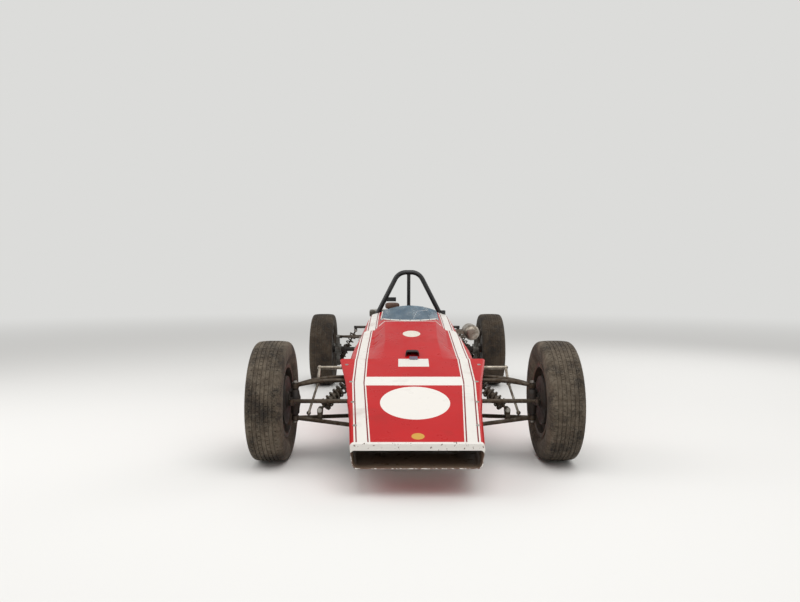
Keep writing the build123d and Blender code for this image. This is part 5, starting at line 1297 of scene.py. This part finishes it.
@dataclass
class EngineDetails:
    """The small things on the engine: plugs, distributor, coil, filters, belt, alternator and flanges."""

    plug_ys: tuple[float, ...] = (0.490, 0.595, 0.715, 0.820)
    exhaust_ys: tuple[float, ...] = (0.470, 0.575, 0.695, 0.800)
    inlet_ys: tuple[float, ...] = (0.485, 0.580, 0.690, 0.785)
    port_z: float = 0.506
    distributor: tuple[float, float, float] = (0.135, 0.475, 0.405)
    coil: tuple[float, float] = (0.215, 0.345)
    coil_strap_z: float = 0.440
    crank_z: float = 0.235
    cam_z: float = 0.400
    belt_radii: tuple[float, float] = (0.0675, 0.0535)
    belt_ys: tuple[float, float] = (0.372, 0.390)
    belt_middle_z: float = 0.3175
    filter_middle: tuple[float, float] = (-0.208, 0.635)
    filler_middle: tuple[float, float] = (0.030, 0.515)
    tail_x: float = 0.236
    tail_z: float = 0.552

    def ignition(self) -> None:
        """The plugs, the distributor with its cap's towers, and the coil."""
        plugs = []
        hexagon = [(0, 0.0105), (0.010, 0.0105), (0.010, 0.006), (0.032, 0.0055)]
        terminal = [(0.030, 0.0058), (0.046, 0.0052), (0.047, 0.003), (0.056, 0.003), (0.057, 0.002)]
        for y in self.plug_ys:
            for rows, sides in ((hexagon, 6), (terminal, 16)):
                plugs.append(turned(rows, (0.0895, y, 0.478), (1, 0, -0.12), sides))
        rows = [(-0.090, 0.013), (-0.020, 0.015), (-0.018, 0.029), (0.006, 0.030)]
        body = turned(rows, self.distributor, UP, 32)
        dome = [(0.006, 0.029), (0.010, 0.029), (0.030, 0.026), (0.034, 0.012)]
        cap = [turned(dome, self.distributor, UP, 32)]
        turns = 1.57 * np.arange(4) + 0.5
        towers = np.array([(0.0, 0.0, 0.0)] + [(0.017 * math.cos(turn), 0.017 * math.sin(turn), 0.0)
                                               for turn in turns])
        for place in towers + self.distributor:
            cap.append(turned([(0.028, 0.0058), (0.044, 0.0052), (0.046, 0.004)], place, UP, 14))
        add_piece("spark_plugs", joined(plugs), "bright")
        add_piece("distributor_body", body, "cast")
        add_piece("distributor_cap", joined(cap), "red_cap")
        x, y = self.coil
        can = [(0, 0.012), (0.001, 0.0215), (0.078, 0.0215), (0.080, 0.0235), (0.086, 0.0235)]
        coil = turned(can + [(0.089, 0.018), (0.100, 0.009), (0.104, 0.0062)], (x, y, 0.404), UP, 32)
        strap = banded((x, y, self.coil_strap_z), UP, 0.0217, 0.016, 0.0016)
        foot = block((x, y - 0.0245, self.coil_strap_z), (0.056, 0.005, 0.022), 0.002)
        add_piece("ignition_coil", coil, "black")
        add_piece("coil_bracket", joined([strap, foot]), "bright")

    def ancillaries(self) -> None:
        """The oil filter, fuel pump, toothed belt with its pulleys, alternator and starter."""
        rows = [(0, 0.03), (0.006, 0.037), (0.085, 0.037), (0.092, 0.032), (0.093, 0.012)]
        oil_filter = turned(rows, (-0.106, 0.50, 0.255), (-1, 0, 0), 36)
        add_piece("oil_filter", oil_filter, "white_trim")
        rows = [(0, 0.026), (0.012, 0.026), (0.013, 0.034), (0.022, 0.034), (0.024, 0.030), (0.034, 0.022),
                (0.040, 0.010)]
        pump = [turned(rows, (-0.081, 0.470, 0.372), (-1, 0, 0), 32),
                turned([(0.0, 0.0052), (0.012, 0.0052), (0.013, 0.0042)], (-0.103, 0.470, 0.396), UP, 14)]
        add_piece("fuel_pump", joined(pump), "cast")
        turn = around(240)
        upper = np.sin(turn) > 0
        reach = np.where(upper, self.belt_radii[1], self.belt_radii[0])
        belt_x = reach * np.cos(turn)
        belt_z = np.where(upper, self.cam_z, self.crank_z) + reach * np.sin(turn) - self.belt_middle_z
        rows = []
        for y, out in zip(np.repeat(self.belt_ys, 2), (0.0, 0.004, 0.004, 0.0)):
            x, z = belt_x * (1 + out / 0.06), self.belt_middle_z + belt_z * (1 + out / 0.14)
            rows.append(np.stack([x, np.full_like(x, y), z], axis=1))
        add_piece("toothed_belt", woven(np.stack(rows), loop=True), "black")
        pulleys = []
        for z, y, radius in ((self.crank_z, 0.3688, 0.040), (self.cam_z, 0.3648, 0.030)):
            rows = [(0, radius), (0.003, radius), (0.003, radius * 0.7), (0.0045, radius * 0.3)]
            pulleys.append(turned(rows, (0, y, z), FORWARD, 32))
            pulleys.append(bolt((0, y - 0.0045, z), FORWARD, 0.011, 0.009))
            pulleys += bolt_circle((0, y - 0.003, z), FORWARD, 0.62 * radius, np.linspace(0.3, 6.58, 6)[:-1],
                                   0.004, 0.004)
        add_piece("front_pulleys", joined(pulleys), "bright")
        rows = [(0, 0.02), (0.004, 0.038), (0.012, 0.038), (0.014, 0.012), (0.026, 0.012), (0.028, 0.052),
                (0.034, 0.056), (0.060, 0.056), (0.062, 0.0535), (0.070, 0.0535), (0.072, 0.056),
                (0.10, 0.056), (0.125, 0.045), (0.128, 0.02)]
        alternator = turned(rows, (0.168, 0.382, 0.335), BACK, 40)
        bracket = swept([(0.105, 0.430, 0.300), (0.130, 0.430, 0.288), (0.160, 0.430, 0.280)], 0.011, 12,
                        (0, 1, 0), 0.5)
        add_piece("alternator", joined([alternator, bracket]), "cast")
        starter = [turned([(0, 0.030), (0.004, 0.036), (0.130, 0.036), (0.150, 0.028), (0.152, 0.010)],
                          (-0.146, 0.884, 0.200), FORWARD, 32),
                   turned([(0, 0.016), (0.060, 0.016), (0.064, 0.010)], (-0.146, 0.870, 0.250), FORWARD, 24)]
        add_piece("starter_motor", joined(starter), "black")

    def flanges(self) -> None:
        """Port flanges with nuts on both sides of the head, head bolts, and core plugs on the block."""
        plates, nuts = [], []
        for sign, ys in ((1, self.exhaust_ys), (-1, self.inlet_ys)):
            for y in ys:
                plates.append(block((sign * 0.0945, y, self.port_z), (0.008, 0.046, 0.048), 0.003))
                for step in (1, -1):
                    nuts.append(bolt((sign * 0.0985, y + step * 0.0185, self.port_z - step * 0.018),
                                     (sign, 0, 0), 0.0048, 0.005))
        add_piece("port_flanges", joined(plates), "cast")
        for sign in (1, -1):
            for y in np.linspace(0.445, 0.845, 5):
                nuts.append(bolt((sign * 0.081, y, 0.5481), UP, 0.0065, 0.007))
            for y in np.linspace(0.43, 0.86, 9):
                nuts.append(bolt((sign * 0.104, y, 0.2150), (sign, 0, 0), 0.0042, 0.004))
        nuts += [bolt((x, y, 0.6141), UP, 0.0055, 0.006) for x in (-0.045, 0.045)
                 for y in (0.47, 0.60, 0.74, 0.82)]
        add_piece("engine_bolts", joined(nuts), "bright")
        plugs = []
        for sign in (1, -1):
            for y in (0.50, 0.63, 0.76):
                plugs.append(turned([(0, 0.019), (0.002, 0.019), (0.0025, 0.017), (0.0012, 0.014)],
                                    (sign * 0.108, y, 0.272), (sign, 0, 0), 28))
        add_piece("core_plugs", joined(plugs), "bright")
        ribs = [swept([(sign * 0.0822, y, 0.345), (sign * 0.0822, y, 0.450)], 0.004, 8, (1, 0, 0))
                for sign in (1, -1) for y in (0.44, 0.535, 0.64, 0.745, 0.85)]
        add_piece("block_ribs", joined(ribs), "engine")

    def fluted(self, middle: tuple, radius: float, wave: float, flutes: int, sides: int,
               steps: tuple) -> np.ndarray:
        """Rings round an upright axis, whose radius is the middle radius plus a cosine wave.

        Args:
            middle: The axis's place along X and Y.
            radius: The middle radius.
            wave: How far the wave swings.
            flutes: How many waves go round.
            sides: How many points go round.
            steps: Each ring's height, and how far out it is set.

        Returns:
            A grid of points, one row to a ring.
        """
        turn = around(sides)
        reach = radius + wave * np.cos(flutes * turn)
        x, y = middle
        return np.stack([np.stack([x + (reach + out) * np.cos(turn), y + (reach + out) * np.sin(turn),
                                   np.full_like(turn, z)], axis=1) for z, out in steps])

    def breathing(self) -> None:
        """The air filter's pleats, lid and wing nut, and the oil filler's cap."""
        x, y = self.filter_middle
        steps = ((0.608, -0.002), (0.608, 0.0), (0.642, 0.0), (0.642, -0.002))
        pleats = woven(self.fluted((x, y), 0.0848, 0.0009, 80, 320, steps), loop=True)
        add_piece("air_filter_pleats", pleats, "filter_felt", sharp=60.0)
        rows = [(-0.004, 0.081), (0.0015, 0.0795), (0.0030, 0.070), (0.0018, 0.060), (0.0034, 0.050),
                (0.0034, 0.012)]
        lid = turned(rows, (x, y, 0.6535), UP, 48)
        nut = [turned([(0, 0.007), (0.008, 0.006), (0.010, 0.004)], (x, y, 0.6565), UP, 16)]
        for sign in (1, -1):
            wing = [(x + sign * out, y, z) for out, z in ((0.004, 0.661), (0.011, 0.669), (0.013, 0.675))]
            nut.append(swept(wing, 0.0034, 8, BACK, 0.5))
        add_piece("air_filter_lid", joined([lid, *nut]), "bright")
        steps = ((0.6190, 0.0), (0.6285, 0.0), (0.6300, -0.003))
        cap = woven(self.fluted(self.filler_middle, 0.0250, 0.0008, 24, 192, steps))
        add_piece("oil_filler_cap", cap, "black", sharp=50.0)

    def exhaust(self) -> None:
        """Bands with their bolts on the tail pipe, with its rolled end."""
        x, z = self.tail_x, self.tail_z
        bands = [banded((x, y, z), BACK, 0.0242, 0.016, 0.0018) for y in (1.425, 1.580)]
        bands += [bolt((x + 0.026, y, z), (1, 0, 0), 0.005, 0.008) for y in (1.425, 1.580)]
        bands.append(banded((x, 1.7715, z), BACK, 0.0242, 0.005, 0.0010))
        add_piece("exhaust_bands", joined(bands), "bright")

    def build(self) -> None:
        """Make each group."""
        self.ignition()
        self.ancillaries()
        self.flanges()
        self.breathing()
        self.exhaust()


@dataclass
class SuspensionDetails:
    """Bolt heads and nuts at the suspension's pivots, upright castings and sleeves on the track rods."""

    plate: float = 0.004
    gap: float = 0.0003
    ball_joint_x: float = 0.580
    track_rod: tuple[float, float] = (-1.30795, 0.306)
    # Each row is a pivot on the left side and the length of its eye, and its bolt lies along the car
    pivots: tuple[tuple[float, float, float, float], ...] = (
        (0.272, -1.080, 0.362, 0.046),
        (0.281, -0.968, 0.366, 0.046),
        (0.261, -1.220, 0.168, 0.046),
        (0.277, -0.960, 0.168, 0.046),
        (0.292, -1.024, 0.388, 0.036),
        (0.462, -1.162, 0.238, 0.036),
        (0.438, 1.248, 0.448, 0.024),
        (0.208, 1.218, 0.178, 0.046),
        (0.228, 1.170, 0.412, 0.046),
    )

    def build(self) -> None:
        """Make the bolts, the castings and the sleeves."""
        heads = []
        for x, y, z, length in self.pivots:
            for sign in (1, -1):
                reach = length / 2 + self.gap + self.plate
                heads.append(bolt((sign * x, y - reach, z), FORWARD, 0.0085, 0.0068))
                heads.append(bolt((sign * x, y + reach, z), BACK, 0.0085, 0.0085))
        add_piece("suspension_bolts", joined(heads), "bright")
        for side in Side:
            sign = side.value
            name = side.name.lower()
            body = f"knuckle_{name}"
            rows = [(0.223, 0.017), (0.228, 0.020), (0.250, 0.021), (0.275, 0.026), (0.305, 0.026),
                    (0.322, 0.021), (0.336, 0.019), (0.341, 0.016)]
            casting = turned(rows, (sign * self.ball_joint_x, FRONT_AXLE_Y, 0.0), UP, 28)
            casting.points[:, 1] = FRONT_AXLE_Y + (casting.points[:, 1] - FRONT_AXLE_Y) * 1.28
            lugs = [block((sign * 0.590, FRONT_AXLE_Y + 0.032, z), (0.018, 0.038, 0.016), 0.004)
                    for z in (0.262, 0.318)]
            nuts = [bolt((sign * self.ball_joint_x, FRONT_AXLE_Y, z), (0, 0, facing), 0.0105, 0.009)
                    for z, facing in ((0.3752, 1), (0.1888, -1))]
            add_piece(f"upright_casting_{name}", joined([casting, *lugs]), "iron", body)
            add_piece(f"ball_joint_nuts_{name}", joined(nuts), "bright", body)
            ends = ((0.262, 0.0075), (0.266, 0.0098), (0.40, 0.0102), (0.545, 0.0098), (0.552, 0.0075))
            sleeve = swept([(sign * x, *self.track_rod) for x, _ in ends], [radius for _, radius in ends], 20)
            add_piece(f"track_rod_sleeve_{name}", sleeve, "steel", "steering_rack")
            centre = (sign * 0.1752, REAR_AXLE_Y, REAR_AXLE_Z)
            drum = bolt_circle(centre, (sign, 0, 0), 0.036, around(6), 0.0062, 0.007)
            add_piece(f"shaft_coupling_bolts_{name}", joined(drum), "bright", f"wheel_rear_{name}")


@dataclass
class ShellFixings:
    """Rivets along the floor pan and the firewall, and the bolted flanges of the frame's joint."""

    floor_z: float = 0.1363
    joint_y: float = 0.3352
    joint_gap: float = 0.0003
    # Each row is a tube that crosses the joint on the left, with its place, its flange's radius and thickness
    joint_tubes: tuple[tuple[float, float, float, float], ...] = (
        (0.2221, 0.1520, 0.0240, 0.0040),
        (0.2800, 0.4989, 0.0240, 0.0040),
        (0.2263, 0.1871, 0.0165, 0.0034),
    )

    def flanges(self) -> Surface:
        """A pair of round plates with their bolts at each tube across the joint."""
        pieces = []
        for x, z, radius, thickness in self.joint_tubes:
            for sign in (1, -1):
                for side in (1, -1):
                    start = (sign * x, self.joint_y + side * self.joint_gap, z)
                    rows = [(0, radius - 0.001), (0.0008, radius), (thickness - 0.0008, radius),
                            (thickness, radius - 0.001)]
                    pieces.append(turned(rows, start, (0, side, 0), 40))
                    centre = (sign * x, self.joint_y + side * (thickness + self.joint_gap), z)
                    turns = np.linspace(0.8, 7.08, 5)[:-1]
                    pieces += bolt_circle(centre, (0, side, 0), radius * 0.76, turns, 0.0042, 0.0040)
        return joined(pieces)

    def build(self) -> None:
        """Make the rivets in rows and the flanges."""
        rivets = []
        edge_y = np.array([-1.25, -0.93, -0.21, 0.2975])
        edge_x = np.array([0.2375, 0.2575, 0.3245, 0.3125])
        for y in np.arange(-1.225, 0.29, 0.06):
            x = float(np.interp(y, edge_y, edge_x)) - 0.0125
            for sign in (1, -1):
                rivets.append(rivet((sign * x, y, self.floor_z), (0, 0, -1)))
        for z in np.arange(0.175, 0.53, 0.05):
            for sign in (1, -1):
                rivets.append(rivet((sign * 0.262, 0.317, z), BACK))
        add_piece("shell_rivets", joined(rivets), "bright")
        add_piece("frame_joint_flanges", self.flanges(), "frame")


def rounded_loop(half_x: float, half_z: float, corner: float, centre_z: float, y: float,
                 sides: int = 96) -> np.ndarray:
    """Points round a rectangle with rounded corners, square to the car's length.

    Args:
        half_x: Half its width.
        half_z: Half its height.
        corner: The radius of its corners.
        centre_z: Its middle's height.
        y: Its place along the car.
        sides: How many points go round.

    Returns:
        The points.
    """
    turn = around(sides)
    x = np.sign(np.cos(turn)) * (half_x - corner) + corner * np.cos(turn)
    z = centre_z + np.sign(np.sin(turn)) * (half_z - corner) + corner * np.sin(turn)
    return np.stack([x, np.full_like(x, y), z], axis=1)


@dataclass
class GearboxDetails:
    """The gearbox's flanges, ribs, plugs and bolts, and the selector rod on its right."""

    bell_face: float = 0.896
    rib_end: float = 1.056
    case_middle_z: float = 0.298

    def collar(self, half_x: float, half_z: float, corner: float, centre_z: float, start: float, end: float,
               out: float) -> Surface:
        """A flange or rib round the casing: four rounded loops, the outer two further out."""
        loops = [rounded_loop(half_x + step, half_z + step, corner + step, centre_z, y)
                 for y, step in ((start, -0.001), (start, out), (end, out), (end, -0.001))]
        return woven(np.stack(loops)[::-1], loop=True)

    def build(self) -> None:
        """Make the flanges and ribs, then the bolts, plugs and rod."""
        middle_z = self.case_middle_z
        bell_rim = (self.bell_face - 0.0102, self.bell_face - 0.0002)
        ribs = [self.collar(0.135, 0.153, 0.090, middle_z, *bell_rim, 0.008)]
        ribs += [self.collar(0.075, 0.098, 0.034, 0.275, y, y + 0.005, 0.004)
                 for y in (1.32, 1.37, 1.42, 1.47)]
        for sign in (1, -1):
            for z in (0.240, 0.298, 0.356):
                end = (sign * 0.0925, self.rib_end, 0.2885 + 0.72 * (z - middle_z))
                ribs.append(swept([(sign * 0.1335, self.bell_face, z), end], 0.0045, 8, UP, 0.8))
            top = [(sign * 0.030, self.bell_face, 0.4445), (sign * 0.021, self.rib_end, 0.4045)]
            ribs.append(swept(top, 0.0045, 8, (1, 0, 0), 0.8))
            for y in (1.075, 1.262):
                upright = [(sign * 0.0925, y, z) for z in (0.215, 0.365)]
                ribs.append(swept(upright, 0.004, 8, (1, 0, 0), 0.8))
        add_piece("gearbox_ribs", joined(ribs), "cast")
        heads = []
        for sign in (1, -1):
            centre = (sign * 0.104, REAR_AXLE_Y, REAR_AXLE_Z)
            heads += bolt_circle(centre, (sign, 0, 0), 0.058, around(10), 0.006, 0.007)
            heads.append(bolt((sign * 0.092, 1.085, 0.230), (sign, 0, 0), 0.012, 0.008))
        for x, z in ((-0.06, 0.19), (0.06, 0.19), (-0.06, 0.36), (0.06, 0.36), (0.0, 0.375), (0.0, 0.175)):
            heads.append(bolt((x, REAR_AXLE_Y + 0.385, z), BACK, 0.006, 0.007))
        loop = rounded_loop(0.139, 0.157, 0.094, middle_z, self.bell_face, 14)
        heads += [bolt(point, BACK, 0.0055, 0.006) for point in loop]
        add_piece("gearbox_bolts", joined(heads), "bright")
        rows = [(0, 0.009), (0.006, 0.009), (0.007, 0.005), (0.018, 0.005), (0.019, 0.010), (0.028, 0.010),
                (0.030, 0.006)]
        breather = turned(rows, (0.02, 1.20, 0.4045), UP, 20)
        add_piece("gearbox_breather", breather, "bright")
        hook = [(-0.100, 1.512, 0.335), (-0.096, 1.530, 0.336), (-0.070, 1.533, 0.337),
                (-0.060, 1.533, 0.337)]
        rod = [swept([(-0.2265, 0.258, 0.300), (-0.100, 1.520, 0.335)], 0.0065, 14),
               swept(softened(hook, 2), 0.006, 14)]
        rows = [(-0.014, 0.008), (-0.012, 0.0115), (0.012, 0.0115), (0.014, 0.008)]
        joints = [turned(rows, place, (0.1, -1, -0.03), 20)
                  for place in ((-0.1005, 1.515, 0.335), (-0.2155, 0.370, 0.303))]
        add_piece("gear_selector_rod", joined(rod + joints), "steel")


@dataclass
class HoopFittings:
    """The switch box on the roll hoop's left leg and the belt bracket on its right."""

    switch_x: float = 0.243
    switch_z: float = 0.642

    def build(self) -> None:
        """Make the box and the bracket."""
        box = block((self.switch_x, HOOP_Y - 0.006, self.switch_z), (0.036, 0.036, 0.044), 0.005)
        rows = [(0, 0.008), (0.012, 0.008), (0.016, 0.005)]
        switch = turned(rows, (self.switch_x, HOOP_Y - 0.024, self.switch_z), FORWARD, 16)
        add_piece("master_switch", joined([box, switch]), "black")
        bracket = block((-0.126, HOOP_Y - 0.004, 0.742), (0.074, 0.006, 0.030), 0.003)
        add_piece("hoop_bracket", bracket, "hoop")


# The studio


@dataclass
class Studio:
    """The floor, the soft light and the camera, which stands where the photograph's stood."""

    camera_place: tuple[float, float, float] = (-0.0806, -4.410, 0.872)
    focal_pixels: float = 661.0
    image_width: float = 800.0
    pitch_pixels: float = 20.0
    yaw_pixels: float = 2.6
    floor_colour: str = "ebeae7"
    backdrop_colour: str = "dcdcda"
    world_strength: float = 0.62
    # Each lamp has a place, a size in metres and a power in watts
    lamps: tuple[tuple[tuple[float, float, float], float, float], ...] = (
        ((0.6, -2.4, 4.4), 4.0, 105.0),
        ((-3.6, -1.0, 3.0), 3.0, 45.0),
        ((3.4, 2.2, 3.2), 3.0, 40.0),
    )

    def build_camera(self) -> None:
        """Set the camera by the photograph's focal length and horizon."""
        data = bpy.data.cameras.new("photo_camera")
        data.sensor_width = 36.0
        data.lens = data.sensor_width * self.focal_pixels / self.image_width
        camera = bpy.data.objects.new("photo_camera", data)
        camera.location = self.camera_place
        pitch = math.atan(self.pitch_pixels / self.focal_pixels)
        yaw = math.atan(self.yaw_pixels / self.focal_pixels)
        camera.rotation_euler = (math.pi / 2 - pitch, 0.0, -yaw)
        bpy.context.scene.collection.objects.link(camera)
        bpy.context.scene.camera = camera

    def build_floor(self) -> None:
        """Lay a wide plain floor as a turned disc with a fine matt grain."""
        floor = turned([(0.0, 60.0), (-0.01, 60.0)], (0, 0, -0.0005), UP, 96)
        mesh = bpy.data.meshes.new("studio_floor")
        mesh.from_pydata(floor.points.tolist(), [], floor.faces)
        finish = FadingFloor("matt_studio_floor", self.floor_colour, self.floor_colour, self.floor_colour,
                             0.0, 900.0, 3.0, 0.02, 0.0, 0.85, 0.02, far_colour=self.backdrop_colour)
        mesh.materials.append(finish.build())
        obj = bpy.data.objects.new("studio_floor", mesh)
        bpy.context.scene.collection.objects.link(obj)

    def build_light(self) -> None:
        """Hang the lamps and set a pale world that shows in metal and glass too."""
        for number, (place, size, power) in enumerate(self.lamps):
            data = bpy.data.lights.new(f"soft_lamp_{number}", "AREA")
            data.shape = "SQUARE"
            data.size = size
            data.energy = power
            lamp = bpy.data.objects.new(f"soft_lamp_{number}", data)
            lamp.location = place
            lamp.rotation_euler = (Vector((0, 0, 0.3)) - Vector(place)).to_track_quat("-Z", "Y").to_euler()
            bpy.context.scene.collection.objects.link(lamp)
        world = bpy.data.worlds.new("pale_studio")
        bpy.context.scene.world = world
        world.use_nodes = True
        tree = world.node_tree
        tree.nodes.clear()
        lit = add_node(tree, "Background", {"Color": linear("ffffff"), "Strength": self.world_strength})
        seen = add_node(tree, "Background", {"Color": linear(self.backdrop_colour), "Strength": 1.0})
        camera, glossy, through = (add_node(tree, "LightPath", out=f"Is {ray} Ray")
                                   for ray in ("Camera", "Glossy", "Transmission"))
        shown = camera.worked("MAXIMUM", glossy).worked("MAXIMUM", through)
        mix = add_node(tree, "MixShader", {0: shown, 1: lit, 2: seen})
        add_node(tree, "OutputWorld", {"Surface": mix})

    def build(self) -> None:
        """Make the whole studio."""
        self.build_camera()
        self.build_floor()
        self.build_light()
        bpy.context.scene.view_settings.view_transform = "Standard"


@dataclass
class RacingCar:
    """The whole car: its sub-assemblies in building order."""

    parts: list[Any] = field(default_factory=list)

    def build(self) -> None:
        """Dress the CAD nodes, then build every sub-assembly."""
        SHOP.dress_nodes()
        for wheel in WHEELS:
            self.parts.append(Tyre(wheel))
            self.parts.append(WheelTrim(wheel, Side.LEFT if wheel.endswith("left") else Side.RIGHT))
        self.parts += [NoseDetails(), ScreenTrim(), CockpitTrim(), Seat(), SteeringWheelTrim(),
                       EngineDetails(), GearboxDetails(), SuspensionDetails(), ShellFixings(), HoopFittings()]
        for part in self.parts:
            part.build()


def main() -> None:
    """Build the car and its studio."""
    logging.basicConfig(level=logging.INFO, format="%(message)s")
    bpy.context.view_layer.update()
    RacingCar().build()
    Studio().build()


if __name__ == "__main__":
    main()
